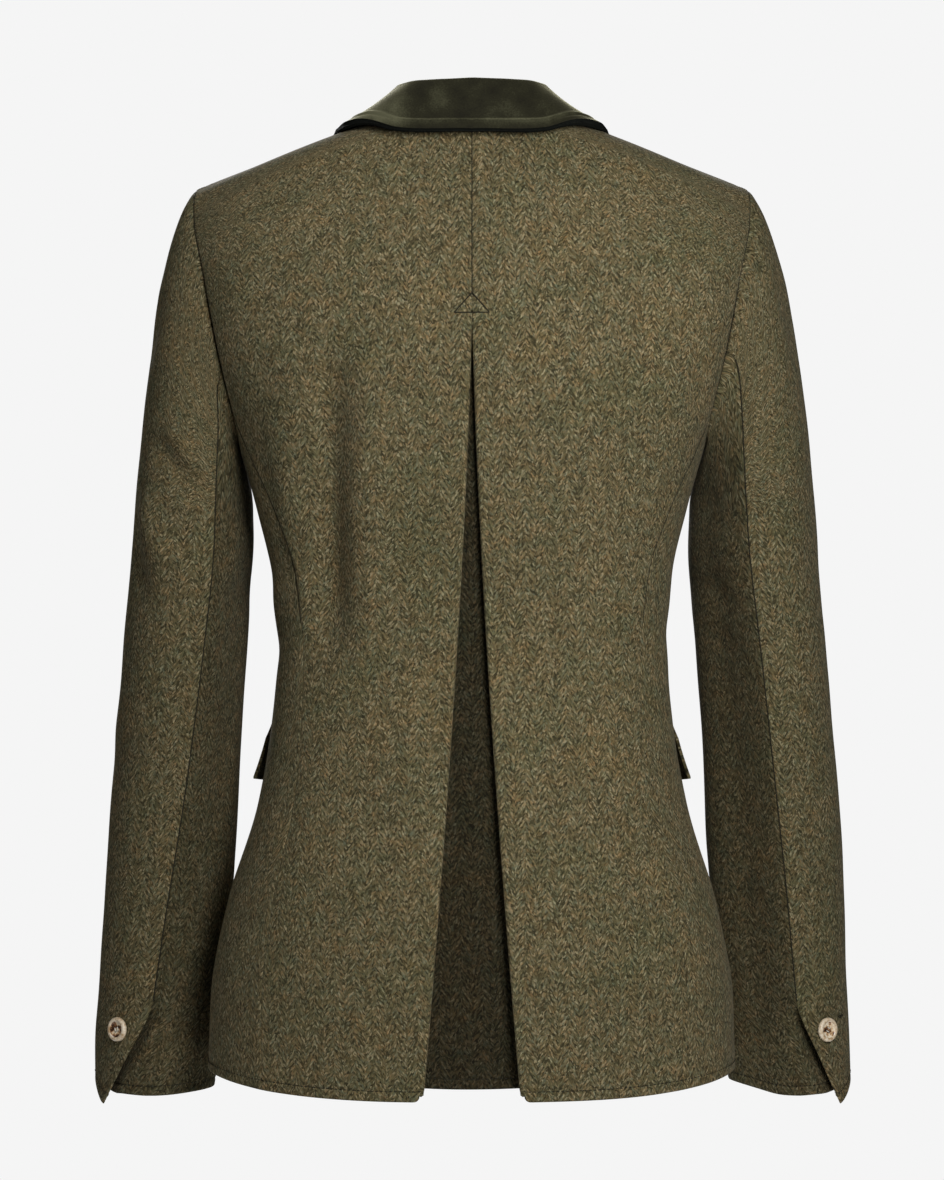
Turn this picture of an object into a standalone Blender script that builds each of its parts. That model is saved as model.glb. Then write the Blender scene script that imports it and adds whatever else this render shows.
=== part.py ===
"""Alpine jacket in tweed with a velvet collar, filled out as worn and hollow.

Metres. The front faces -Y, +Z is up, +X is the wearer's left. The origin lies level with the neck
points, on the line from neck to neck, where the wearer's shoulders hold the jacket up.
"""
import math

import bmesh
import bpy
import numpy as np

for item in list(bpy.data.objects):
    bpy.data.objects.remove(item)

# Driving sizes

CLOTH = 0.0018
VELVET = 0.0020
SEAM = 0.0004
LAP = 0.0006
SHOULDER_HALF = 0.0007
FRONT_OVERLAP = 0.020
NECK_HALF = 0.063
NECK_ROUND = 2.2
ARROWHEAD_Z = -0.140
PLEAT_HALF_AT_HEM = 0.0325
PLEAT_SPREAD = 1.4
PLEAT_TURN = 0.0026
PLEAT_RETURN_TOP = 0.0012
PLEAT_RETURN_HEM = 0.0140
UNDERLAY_HEM_Z = -0.6625
UNDERLAY_CLEAR = 0.0012
VENT_TOP_Z = -0.618
CUFF_Z = -0.6835
VENT_POINT_DROP = 0.0085
BUTTON_RADIUS = 0.0085
BUTTON_THICK = 0.0036

# Torso rings from hem to shoulder: level, heights at centre back, side and centre front, half width,
# depth behind and before the middle, squareness of the ring, how the height runs out to the side
TORSO_ROWS = (
    ("level", "z_back", "z_side", "z_front", "half", "back", "front", "square", "tilt"),
    (0.000, -0.6705, -0.661, -0.676, 0.1840, 0.1230, 0.1220, 2.15, 4.0),
    (0.080, -0.614, -0.610, -0.616, 0.1822, 0.1240, 0.1180, 2.15, 4.0),
    (0.180, -0.544, -0.542, -0.545, 0.1702, 0.1200, 0.1130, 2.15, 2.0),
    (0.280, -0.474, -0.474, -0.474, 0.1495, 0.1080, 0.1070, 2.15, 2.0),
    (0.360, -0.420, -0.420, -0.420, 0.1402, 0.0960, 0.1040, 2.15, 2.0),
    (0.435, -0.369, -0.369, -0.369, 0.1362, 0.0890, 0.1050, 2.15, 2.0),
    (0.510, -0.318, -0.318, -0.318, 0.1398, 0.0905, 0.1140, 2.20, 2.0),
    (0.580, -0.272, -0.272, -0.272, 0.1500, 0.0985, 0.1240, 2.30, 2.0),
    (0.650, -0.228, -0.228, -0.228, 0.1620, 0.1050, 0.1250, 2.45, 2.0),
    (0.740, -0.165, -0.170, -0.160, 0.1810, 0.1090, 0.1180, 2.70, 2.0),
    (0.820, -0.108, -0.122, -0.098, 0.1915, 0.1020, 0.0980, 2.90, 2.0),
    (0.880, -0.060, -0.092, -0.052, 0.1985, 0.0860, 0.0760, 2.90, 1.8),
    (0.930, -0.004, -0.075, -0.012, 0.2020, 0.0640, 0.0540, 2.80, 1.6),
    (0.970, 0.016, -0.059, 0.010, 0.2034, 0.0400, 0.0350, 2.70, 1.25),
    (1.000, 0.028, -0.0505, 0.028, 0.2036, 0.0000, 0.0000, 2.60, 1.0),
)
SHOULDER_LEVEL = 0.9996
NAPE_LEVEL = 0.930
UNDERARM_LEVEL = 0.650

# Armhole edge: level, then how far back and front of the side the edge lies, as parts of the ring depth
ARMHOLE_ROWS = (
    ("level", "back", "front"),
    (0.650, 0.00, 0.00),
    (0.665, 0.22, 0.27),
    (0.700, 0.35, 0.42),
    (0.740, 0.42, 0.50),
    (0.800, 0.46, 0.55),
    (0.880, 0.48, 0.56),
    (0.940, 0.47, 0.51),
    (1.000, 0.46, 0.46),
)
SIDE_BACK_TOP = 0.685
SIDE_FRONT_TOP = 0.675

# Side seams: level, angle round the ring of the side back seam and of the side front seam, in degrees
SIDE_SEAM_ROWS = (
    ("level", "side_back", "side_front"),
    (0.000, 50.0, 118.0),
    (0.280, 54.0, 116.0),
    (0.435, 58.0, 114.0),
    (0.580, 60.0, 112.0),
    (0.690, 68.0, 109.0),
)

# Sleeve rings below the cap: height, middle out and deep, half width across, half depth
SLEEVE_ROWS = (
    ("height", "out", "deep", "across", "depth"),
    (-0.270, 0.1962, -0.022, 0.0432, 0.0590),
    (-0.300, 0.1972, -0.024, 0.0446, 0.0590),
    (-0.369, 0.2028, -0.028, 0.0450, 0.0565),
    (-0.440, 0.2087, -0.034, 0.0453, 0.0530),
    (-0.511, 0.2140, -0.043, 0.0464, 0.0500),
    (-0.583, 0.2193, -0.052, 0.0459, 0.0475),
    (-0.640, 0.2243, -0.057, 0.0448, 0.0455),
    (-0.700, 0.2277, -0.060, 0.0418, 0.0430),
)
BICEP_Z = -0.270

# Sleeve seams: run from armhole 0 to cuff 1, angle of the elbow seam and of the fore seam, in degrees
SLEEVE_SEAM_ROWS = (
    ("run", "elbow_left", "elbow_right", "fore"),
    (0.00, 120.0, 112.0, 236.0),
    (0.06, 125.0, 110.0, 235.0),
    (0.15, 124.5, 107.0, 234.0),
    (0.30, 116.0, 101.0, 232.0),
    (0.45, 112.5, 96.0, 231.0),
    (0.60, 106.5, 92.0, 230.0),
    (0.84, 90.0, 84.5, 230.0),
    (1.00, 84.0, 82.0, 230.0),
)

# Collar stations from centre back to the front end: way along the neck seam (1 at the neck point),
# height of the stand, how far it leans in to the neck, where its lower edge lies on the torso (distance
# out, level counted on over the shoulder to the front), lift of that edge off the torso
COLLAR_ROWS = (
    ("way", "rise", "lean", "edge_out", "edge_over", "lift"),
    (0.00, 0.0260, 0.000, 0.000, 0.915, 0.0120),
    (0.36, 0.0262, 0.006, 0.050, 0.922, 0.0120),
    (0.70, 0.0258, 0.013, 0.083, 0.962, 0.0070),
    (1.00, 0.0238, 0.015, 0.0955, 1.000, 0.0036),
    (1.40, 0.0180, 0.006, 0.103, 1.045, 0.0050),
    (2.00, 0.0090, 0.000, 0.101, 1.100, 0.0046),
)
FRONT_SEAM_END = 0.888
COLLAR_ROLL = 0.0034
FALL_BELLY = 0.0012
FALL_HOLLOW = 0.0036

# Largest folds of each back panel: top and bottom of the line (out from the middle, height), width,
# height of the ridge, less than nothing for a trough
LEFT_FOLD_ROWS = (
    ("top_out", "top_z", "low_out", "low_z", "width", "ridge"),
    (0.079, -0.150, 0.088, -0.372, 0.016, -0.0030),
    (0.058, -0.160, 0.066, -0.372, 0.015, 0.0014),
    (0.110, -0.180, 0.104, -0.285, 0.011, -0.0018),
)
RIGHT_FOLD_ROWS = (
    ("top_out", "top_z", "low_out", "low_z", "width", "ridge"),
    (0.108, -0.170, 0.098, -0.300, 0.014, -0.0016),
)


# Helpers that work the form out from the tables

def smooth(rows, name, at):
    """Curve through a named column of a table against its first column, without overshoot."""
    table = np.array(rows[1:], float)
    knots = table[:, 0]
    values = table[:, rows[0].index(name)]
    at = np.asarray(at, float)
    if knots[0] > knots[-1]:
        knots = -knots
        at = -at
    step = np.diff(knots)
    slope = np.diff(values) / step
    bend = np.zeros_like(values)
    product = slope[:-1] * slope[1:]
    total = slope[:-1] + slope[1:]
    safe = np.where(product > 0, total, 1.0)
    bend[1:-1] = np.where(product > 0, 2.0 * product / safe, 0.0)
    bend[0] = slope[0]
    bend[-1] = slope[-1]
    at = np.clip(at, knots[0], knots[-1])
    span = np.clip(np.searchsorted(knots, at, side="right") - 1, 0, len(step) - 1)
    part = (at - knots[span]) / step[span]
    lift = step[span] * (bend[span] * part * (1 - part) ** 2 - bend[span + 1] * part ** 2 * (1 - part))
    blend = part * part * (3 - 2 * part)
    return values[span] * (1 - blend) + values[span + 1] * blend + lift


def ring(name, level):
    return smooth(TORSO_ROWS, name, level)


def ease(value):
    value = np.clip(value, 0.0, 1.0)
    return value * value * (3 - 2 * value)


def torso(out, over):
    """Point of the torso's outer face at a distance out from the middle; over is the level, which
    counts on past 1 over the shoulder and down the front."""
    out, over = np.broadcast_arrays(np.asarray(out, float), np.asarray(over, float))
    behind = over <= 1.0
    level = np.where(behind, over, 2.0 - over)
    half = ring("half", level)
    square = ring("square", level)
    depth = np.where(behind, ring("back", level), -ring("front", level))
    share = np.clip(np.abs(out) / half, 0.0, 1.0)
    deep = depth * np.clip(1.0 - share ** square, 0.0, 1.0) ** (1.0 / square)
    middle = np.where(behind, ring("z_back", level), ring("z_front", level))
    height = middle + (ring("z_side", level) - middle) * share ** ring("tilt", level)
    return np.stack([out, deep, height], axis=-1)


def torso_at(angle, level):
    """Point of the torso's outer face at an angle round the ring, 0 at the back and 180 at the front."""
    angle, level = np.broadcast_arrays(np.radians(angle), np.asarray(level, float))
    half = ring("half", level)
    square = ring("square", level)
    sine = np.sin(angle)
    cosine = np.cos(angle)
    out = half * np.sign(sine) * np.abs(sine) ** (2.0 / square)
    depth = np.where(cosine >= 0, ring("back", level), ring("front", level))
    deep = depth * np.sign(cosine) * np.abs(cosine) ** (2.0 / square)
    middle = np.where(cosine >= 0, ring("z_back", level), ring("z_front", level))
    share = np.abs(out) / half
    height = middle + (ring("z_side", level) - middle) * share ** ring("tilt", level)
    return np.stack([out, deep, height], axis=-1)


def angle_of(out, level, front=False):
    """Angle round the ring at a distance out from the middle."""
    share = np.clip(np.abs(out) / ring("half", level), 0.0, 1.0) ** (ring("square", level) / 2.0)
    turn = np.degrees(np.arcsin(share)) * np.sign(out)
    return 180.0 - turn if front else turn


def spread(count):
    """Parts of the way across a panel, with a narrow column beside each edge so that walls meet true."""
    return np.concatenate([[0.0], np.linspace(0.02, 0.98, count - 2), [1.0]])


def unit(vectors):
    return vectors / np.maximum(np.linalg.norm(vectors, axis=-1, keepdims=True), 1e-12)


def face_normal(shape, first, second, step_first, step_second):
    """Outward direction of a shape given by two numbers."""
    along = shape(first + step_first, second) - shape(first - step_first, second)
    across = shape(first, second + step_second) - shape(first, second - step_second)
    return unit(np.cross(along, across))


def torso_normal(angle, level):
    return face_normal(torso_at, np.asarray(angle, float), np.clip(level, 0.002, 0.997), -0.5, 0.002)


def folds(points, outward, rows):
    """Move points along their outward direction by the largest folds."""
    moved = points.copy()
    for top_out, top_z, low_out, low_z, width, ridge in rows[1:]:
        part = (points[..., 2] - low_z) / (top_z - low_z)
        line = low_out + (top_out - low_out) * part
        fade = np.sin(math.pi * np.clip(part, 0.0, 1.0)) ** 0.8
        bump = ridge * fade * np.exp(-((points[..., 0] - line) / width) ** 2)
        bump = np.where(points[..., 1] > 0, bump, 0.0)
        moved += outward * bump[..., None]
    return moved


def armhole_angle(level, front):
    """Angle round the ring where a panel ends at the armhole."""
    part = smooth(ARMHOLE_ROWS, "front" if front else "back", level)
    turn = np.degrees(np.arccos(np.clip(part, 0.0, 1.0) ** (ring("square", level) / 2.0)))
    return 180.0 - turn if front else turn


def degrees_of(length, level):
    """Angle that a short length takes up on the side of the ring."""
    return np.degrees(length / (0.5 * (ring("half", level) + ring("back", level)) + 1e-9))


jacket = bpy.data.collections.new("alpine_jacket")
bpy.context.scene.collection.children.link(jacket)

COLOURS = {
    "tweed": (0.085, 0.072, 0.040, 1.0),
    "velvet": (0.022, 0.020, 0.012, 1.0),
    "horn": (0.55, 0.38, 0.22, 1.0),
}


def add_object(name, mesh, stuff):
    node = bpy.data.objects.new(name, mesh)
    material = bpy.data.materials.new(name + "_" + stuff)
    material.use_nodes = True
    material.node_tree.nodes["Principled BSDF"].inputs["Base Color"].default_value = COLOURS[stuff]
    material.node_tree.nodes["Principled BSDF"].inputs["Roughness"].default_value = 0.9
    mesh.materials.append(material)
    jacket.objects.link(node)
    return node


def cloth(name, points, mirrored=False, thick=CLOTH, stuff="tweed", keep=None):
    """One cloth piece: a grid of points seen from outside, columns to the right and rows upward, as a
    wall that thickens inward. Keep is a mask of the points that belong to it."""
    if mirrored:
        points = points[:, ::-1] * np.array([-1.0, 1.0, 1.0])
        keep = keep if keep is None else keep[:, ::-1]
    row_count, column_count = points.shape[:2]
    work = bmesh.new()
    bmesh.ops.create_grid(work, x_segments=column_count - 1, y_segments=row_count - 1, size=1.0)
    unused = []
    for vert in work.verts:
        column = round((vert.co.x + 1) / 2 * (column_count - 1))
        row = round((vert.co.y + 1) / 2 * (row_count - 1))
        vert.co = points[row, column]
        if keep is not None and not keep[row, column]:
            unused.append(vert)
    bmesh.ops.delete(work, geom=unused, context="VERTS")
    mesh = bpy.data.meshes.new(name)
    work.to_mesh(mesh)
    work.free()
    node = add_object(name, mesh, stuff)
    wall = node.modifiers.new("wall", "SOLIDIFY")
    wall.thickness = thick
    wall.offset = -1.0
    return node


# Back panels, each with the turned in return of the centre pleat

ARROWHEAD_LEVEL = 0.776
SEAM_BLEND_LEVEL = 0.50
TURN_ANGLES = np.radians((40.0, 80.0, 120.0))


def pleat_part(height):
    return np.clip((ARROWHEAD_Z - height) / (ARROWHEAD_Z - ring("z_back", 0.0)), 0.0, 1.0)


def pleat_half(height):
    return np.maximum(PLEAT_HALF_AT_HEM * pleat_part(height) ** PLEAT_SPREAD, SEAM / 2)


def pleat_return(height):
    return PLEAT_RETURN_TOP + (PLEAT_RETURN_HEM - PLEAT_RETURN_TOP) * pleat_part(height) ** 0.8


def back_inner(level):
    """Distance out of the back panel's inner edge: pleat, centre seam, then the neckline."""
    part = np.clip((level - NAPE_LEVEL) / (1.0 - NAPE_LEVEL), 0.0, 1.0)
    neck = NECK_HALF * (1.0 - (1.0 - part) ** NECK_ROUND) ** (1.0 / NECK_ROUND)
    return np.maximum(pleat_half(ring("z_back", level)), neck)


def side_back_angle(level):
    """Angle of the back panel's outer edge: side back seam, then the armhole."""
    seam = smooth(SIDE_SEAM_ROWS, "side_back", level)
    hole = armhole_angle(np.maximum(level, UNDERARM_LEVEL), False)
    join = smooth(SIDE_SEAM_ROWS, "side_back", SIDE_BACK_TOP)
    hole_join = armhole_angle(SIDE_BACK_TOP, False)
    part = (level - SEAM_BLEND_LEVEL) / (SIDE_BACK_TOP - SEAM_BLEND_LEVEL)
    seam = seam + (hole_join - join) * ease(part)
    return np.where(level < SIDE_BACK_TOP, seam, hole)


def side_front_angle(level):
    """Angle of the front panel's outer edge: side front seam, then the armhole."""
    seam = smooth(SIDE_SEAM_ROWS, "side_front", level)
    hole = armhole_angle(np.maximum(level, UNDERARM_LEVEL), True)
    join = smooth(SIDE_SEAM_ROWS, "side_front", SIDE_FRONT_TOP)
    hole_join = armhole_angle(SIDE_FRONT_TOP, True)
    part = (level - SEAM_BLEND_LEVEL) / (SIDE_FRONT_TOP - SEAM_BLEND_LEVEL)
    seam = seam + (hole_join - join) * ease(part)
    return np.where(level < SIDE_FRONT_TOP, seam, hole)


# Rows shared by the panels beside a seam, as parts of the way from the hem up to the armhole
SEAM_RUNS = np.concatenate([(0.0, 0.02, 0.06, 0.12), np.linspace(0.19, 1.0, 13)])


def back_panel(rows, columns, fold_rows):
    """Points of a left back panel, outer edge first, and the mask of points in use."""
    level = rows[:, None]
    inner = back_inner(level)
    height = ring("z_back", level)
    turned = level < ARROWHEAD_LEVEL + 1e-6
    inner = inner + np.where(turned, PLEAT_TURN, 0.0)
    outer_angle = side_back_angle(level) - degrees_of(SEAM / 2, level)
    inner_angle = angle_of(inner, level)
    part = spread(columns)[None, :]
    angle = outer_angle + (inner_angle - outer_angle) * part
    panel = torso_at(angle, level + 0.0 * part)
    panel = folds(panel, torso_normal(angle, level + 0.0 * part), fold_rows)
    behind = np.maximum(panel[..., 1], SHOULDER_HALF)
    panel[..., 1] = np.where(level > SIDE_BACK_TOP, behind, panel[..., 1])
    edge = panel[:, -1:]
    turns = [panel]
    for turn in TURN_ANGLES:
        shift = np.zeros_like(edge)
        shift[..., 0] = -PLEAT_TURN * np.sin(turn)
        shift[..., 1] = -PLEAT_TURN * (1.0 - np.cos(turn))
        turns.append(edge + shift)
    run = np.zeros_like(edge)
    run[..., 0] = -np.cos(TURN_ANGLES[-1]) * pleat_return(height)
    run[..., 1] = -np.sin(TURN_ANGLES[-1]) * pleat_return(height)
    turns.append(turns[-1] + 0.5 * run)
    turns.append(turns[-2] + run)
    points = np.concatenate(turns, axis=1)
    keep = np.ones(points.shape[:2], bool)
    keep[:, columns:] = turned
    return points, keep


ABOVE_ARROWHEAD = ARROWHEAD_LEVEL + 0.004
BACK_LEVELS = np.concatenate([SEAM_RUNS * SIDE_BACK_TOP, (0.715, 0.745, ARROWHEAD_LEVEL, ABOVE_ARROWHEAD),
                              (0.82, 0.86, 0.90),
                              (NAPE_LEVEL, 0.944, 0.960, 0.978, 0.990, SHOULDER_LEVEL)])
back_points, back_keep = back_panel(BACK_LEVELS, 10, LEFT_FOLD_ROWS)
cloth("back_left", back_points, keep=back_keep)
back_points, back_keep = back_panel(BACK_LEVELS, 10, RIGHT_FOLD_ROWS)
cloth("back_right", back_points, mirrored=True, keep=back_keep)

# Pleat underlay, behind both returns and a little shorter than the hem

UNDERLAY_MARGIN = 0.0045
UNDERLAY_ABOVE = 0.006


def underlay(rows, columns):
    height = np.linspace(UNDERLAY_HEM_Z, ARROWHEAD_Z + UNDERLAY_ABOVE, rows)[:, None]
    half = pleat_half(height) + 0.5 * pleat_return(height) + UNDERLAY_MARGIN
    out = half * np.linspace(1.0, -1.0, columns)[None, :]
    table = np.linspace(0.0, 0.9, 400)
    level = np.interp(height, ring("z_back", table), table)
    points = torso(out, level + 0.0 * out)
    deep = PLEAT_TURN * 1.5 + np.sin(TURN_ANGLES[-1]) * pleat_return(height) + UNDERLAY_CLEAR
    points[..., 1] -= deep
    points[..., 2] = height
    return points


cloth("pleat_underlay", underlay(14, 7))

# Side panels, from the side front seam to the side back seam, their tops on the armhole


def side_panel(runs, columns):
    run = runs[:, None]
    part = spread(columns)[None, :]
    back_top = side_back_angle(SIDE_BACK_TOP - 1e-6)
    front_top = side_front_angle(SIDE_FRONT_TOP - 1e-6)
    top_angle = front_top + (back_top - front_top) * part
    level = np.linspace(UNDERARM_LEVEL, SIDE_BACK_TOP, 300)
    back_edge = armhole_angle(level, False)
    front_edge = armhole_angle(level, True)
    behind = np.interp(-top_angle, -back_edge, level)
    before = np.interp(top_angle, front_edge, level)
    top = np.where(top_angle <= 90.0, behind, before)
    front_level = run * SIDE_FRONT_TOP
    back_level = run * SIDE_BACK_TOP
    front_angle = side_front_angle(front_level - 1e-6) - degrees_of(SEAM / 2, front_level)
    back_angle = side_back_angle(back_level - 1e-6) + degrees_of(SEAM / 2, back_level)
    angle = front_angle + (back_angle - front_angle) * part
    return torso_at(angle, run * top)


side_points = side_panel(SEAM_RUNS, 8)
cloth("side_left", side_points)
cloth("side_right", side_points, mirrored=True)

# Fronts, the right one lapped over the left, each ending at its front edge and roll line

BREAK_LEVEL = 0.470
CORNER_LEVEL = 0.100
CORNER_CUT = 0.050
GORGE_LEVEL = 0.878
ROLL_TOP_OUT = 0.059
ROLL_TOP_LEVEL = 0.95
FRONT_LAP = CLOTH + 2 * LAP
LAP_END_LEVEL = 0.80
LAP_FADE_LEVELS = 0.14
LAP_FADE_OUT = 0.085
LAP_FADE_WIDTH = 0.060


def front_inner(level):
    """Distance past the middle of a front's inner edge: rounded corner, straight edge, roll line."""
    corner = np.clip((CORNER_LEVEL - level) / CORNER_LEVEL, 0.0, 1.0)
    cut = CORNER_CUT * (1.0 - np.sqrt(1.0 - corner ** 2))
    height = ring("z_front", level)
    low = ring("z_front", BREAK_LEVEL)
    high = ring("z_front", ROLL_TOP_LEVEL)
    part = np.clip((height - low) / (high - low), 0.0, 1.0)
    roll = FRONT_OVERLAP - (ROLL_TOP_OUT + FRONT_OVERLAP) * part
    neck_part = np.clip((level - ROLL_TOP_LEVEL) / (1.0 - ROLL_TOP_LEVEL), 0.0, 1.0)
    neck = -ROLL_TOP_OUT + (ROLL_TOP_OUT - NECK_HALF) * neck_part
    return np.where(level < BREAK_LEVEL, FRONT_OVERLAP - cut, np.where(level < ROLL_TOP_LEVEL, roll, neck))


def lap_lift(out, level, lap):
    """How far the upper front is carried out over the lower one near the middle."""
    near = ease((LAP_FADE_OUT - out) / LAP_FADE_WIDTH)
    return lap * near * ease((LAP_END_LEVEL - level) / LAP_FADE_LEVELS)


def front_panel(rows, columns, lap):
    level = rows[:, None]
    inner_angle = angle_of(-front_inner(level), level, front=True)
    outer_angle = side_front_angle(level) + degrees_of(SEAM / 2, level)
    part = spread(columns)[None, :]
    angle = inner_angle + (outer_angle - inner_angle) * part
    points = torso_at(angle, level + 0.0 * part)
    lift = lap_lift(points[..., 0], level, lap)
    points = points + torso_normal(angle, level + 0.0 * part) * lift[..., None]
    before = np.minimum(points[..., 1], -SHOULDER_HALF)
    points[..., 1] = np.where(level > SIDE_FRONT_TOP, before, points[..., 1])
    return points


FRONT_LEVELS = np.concatenate([SEAM_RUNS * SIDE_FRONT_TOP, (0.71, 0.75, 0.79, 0.83, 0.87, 0.91),
                               (0.945, 0.970, 0.988, SHOULDER_LEVEL)])
cloth("front_left", front_panel(FRONT_LEVELS, 10, 0.0))
cloth("front_right", front_panel(FRONT_LEVELS, 10, FRONT_LAP), mirrored=True)

# Lapels, each lying on its front from the roll line out to a notched edge

LEFT_BREAK_LEVEL = 0.615
LAPEL_START = 0.012
LAPEL_TIP_OUT = 0.126
LAPEL_TIP_LEVEL = 0.842
LAPEL_BELLY = 0.010
LAPEL_ROLL = 0.0030


def lapel(rows, columns, lap, break_level):
    run = np.linspace(0.0, 1.0, rows)[:, None]
    part = np.linspace(0.0, 1.0, columns)[None, :]
    roll_level = break_level + (GORGE_LEVEL - break_level) * run
    roll_out = -front_inner(roll_level)
    bulge = LAPEL_BELLY * np.sin(math.pi * run)
    edge_level = break_level + (LAPEL_TIP_LEVEL - break_level) * run
    edge_start = -front_inner(break_level) + LAPEL_START
    edge_out = edge_start + (LAPEL_TIP_OUT - edge_start) * run + bulge
    out = roll_out + (edge_out - roll_out) * part
    level = roll_level + (edge_level - roll_level) * part
    angle = angle_of(out, level, front=True)
    points = torso_at(angle, level)
    under = lap_lift(out, level, lap)
    roll = LAPEL_ROLL * np.sin(math.pi * part ** 0.6) * ease(run / 0.3)
    return points + torso_normal(angle, level) * (under + CLOTH + LAP + roll)[..., None]


cloth("lapel_left", lapel(13, 7, 0.0, LEFT_BREAK_LEVEL))
cloth("lapel_right", lapel(15, 7, FRONT_LAP, BREAK_LEVEL + 0.005), mirrored=True)

# Collar in velvet: a stand that rises from the neck seam, rolls over and falls to its lower edge

ROLL_ANGLES = np.radians((0.0, 40.0, 80.0, 115.0, 145.0))
HOLLOW_WAY = 0.95
HOLLOW_WIDTH = 0.35


def torso_lifted(out, over, lift):
    outward = face_normal(torso, out, over, -0.004, 0.006)
    outward = np.where(outward[..., 2:3] < 0, -outward, outward)
    return torso(out, over) + outward * lift[..., None]


def neck_seam(way):
    """Point of the neckline: way 0 at the nape, 1 at the neck point, 2 at the collar's front end."""
    turn = np.radians(90.0 * np.clip(way, 0.0, 1.0))
    back_out = NECK_HALF * np.sin(turn) ** (2.0 / NECK_ROUND)
    back_over = 1.0 - (1.0 - NAPE_LEVEL) * np.maximum(np.cos(turn), 0.0) ** (2.0 / NECK_ROUND)
    front_level = 1.0 - (1.0 - FRONT_SEAM_END) * np.clip(way - 1.0, 0.0, 1.0)
    out = np.where(way <= 1.0, back_out, -front_inner(front_level))
    return torso(out, np.where(way <= 1.0, back_over, 2.0 - front_level))


def collar(stations, fall_rows):
    """Points of the collar from the left front end round to the right one, lower edge first."""
    way = np.linspace(0.0, 2.0, stations)
    rise, lean, edge_out, edge_over, lift = (smooth(COLLAR_ROWS, name, way) for name in COLLAR_ROWS[0][1:])
    seam = neck_seam(way)
    seam[:, 2] += LAP * (2.0 - ease(way - 1.0))
    edge = torso_lifted(edge_out, edge_over, lift)
    straight = np.array([0.0, 0.0, 1.0])
    outward = torso_lifted(edge_out, edge_over, lift + 1.0) - edge
    turn_over = ease((way - 0.9) / 0.7)[:, None]
    upward = unit(straight * (1.0 - turn_over) + outward * turn_over)
    away = edge - seam
    away = unit(away - upward * np.sum(away * upward, axis=1, keepdims=True))
    middle = seam + away * (COLLAR_ROLL - lean)[:, None] + upward * (rise - COLLAR_ROLL)[:, None]
    section = []
    for turn in ROLL_ANGLES:
        section.append(middle + COLLAR_ROLL * (-away * np.cos(turn) + upward * np.sin(turn)))
    start = section[-1]
    fall = []
    curve = FALL_BELLY - FALL_HOLLOW * np.exp(-((way - HOLLOW_WAY) / HOLLOW_WIDTH) ** 2)
    for part in np.linspace(0.0, 1.0, fall_rows)[1:]:
        bow = curve[:, None] * math.sin(math.pi * part)
        fall.append(start + (edge - start) * part + (away + 0.5 * upward) * bow)
    stand = [seam, seam + (section[0] - seam) * 0.5]
    whole = np.stack(stand + section + fall, axis=0)[::-1]
    other = whole[:, 1:] * np.array([-1.0, 1.0, 1.0])
    return np.concatenate([whole[:, ::-1], other], axis=1)


cloth("collar", collar(15, 5), thick=VELVET, stuff="velvet")

# Sleeves: each grows out of the armhole, turns down over the cap and hangs forward to an open cuff

CAP_SHARE = 0.32
CAP_STEP_OUT = 0.0005
CAP_LEAVE_OUT = 0.97
CAP_LEAVE_DOWN = 0.22
CAP_REACH = 0.006
CAP_REACH_TIP = 0.008
CAP_REACH_SIDES = 0.020
CAP_HANG = 0.62
CUFF_START = 0.88
CUFF_ARCH = 0.007
CUFF_ARCH_ANGLE = 4.0
CUFF_ARCH_WIDTH = 24.0
VENT_POINT_ANGLE = 43.0
VENT_POINT_REACH = 45.0
VENT_FLARE = 0.0038
UNDERLAP = 15.0
UNDERLAP_RISE = 0.0045
UNDERLAP_RISE_ANGLES = (78.0, 42.0)
UNDERLAP_DEPTH = 0.0032
UNDERLAP_START = 0.12
UNDERLAP_FULL = 0.42
UNDERLAP_TUCK_START = 34.0
UNDERLAP_TUCK_WIDTH = 30.0
FULLNESS_FADE = 0.72
SEAM_RADIUS = 0.045
LEFT_FULLNESS = -0.0014
RIGHT_FULLNESS = 0.0024


def armhole_loop():
    """Armhole edge from the shoulder tip down the back, round the underarm and up the front."""
    run = np.linspace(SHOULDER_LEVEL, UNDERARM_LEVEL, 300)
    back = torso_at(armhole_angle(run, False), run)
    front = torso_at(armhole_angle(run, True), run)[::-1]
    return back, front


def along(line, part):
    """Point at a part of a line's length."""
    length = np.concatenate([[0.0], np.cumsum(np.linalg.norm(np.diff(line, axis=0), axis=1))])
    goal = np.asarray(part) * length[-1]
    return np.stack([np.interp(goal, length, line[:, axis]) for axis in range(3)], axis=-1)


BACK_HOLE, FRONT_HOLE = armhole_loop()
HOLE_MIDDLE = np.array([0.192, 0.0, -0.135])


def hole_point(angle):
    """Armhole point at an angle: 0 shoulder tip, 90 back, 180 underarm, 270 front."""
    angle = np.mod(angle, 360.0)
    behind = along(BACK_HOLE, np.clip(angle / 180.0, 0.0, 1.0))
    before = along(FRONT_HOLE, np.clip(angle / 180.0 - 1.0, 0.0, 1.0))
    point = np.where((angle <= 180.0)[..., None], behind, before)
    inward = HOLE_MIDDLE - point
    inward[..., 0] = 0.0
    return point + unit(inward) * SEAM + np.array([CAP_STEP_OUT, 0.0, 0.0])


def sleeve_middle(height):
    """Point of the hanging sleeve's middle line."""
    out = smooth(SLEEVE_ROWS, "out", height)
    return np.stack([out, smooth(SLEEVE_ROWS, "deep", height), height], axis=-1)


def sleeve_ring(angle, height):
    """Point of the hanging sleeve at an angle: 0 outer side, 90 back, 180 inner side, 270 front."""
    turn = np.radians(angle)
    out = smooth(SLEEVE_ROWS, "out", height) + smooth(SLEEVE_ROWS, "across", height) * np.cos(turn)
    deep = smooth(SLEEVE_ROWS, "deep", height) + smooth(SLEEVE_ROWS, "depth", height) * np.sin(turn)
    return np.stack([out, deep, height + 0.0 * turn], axis=-1)


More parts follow.
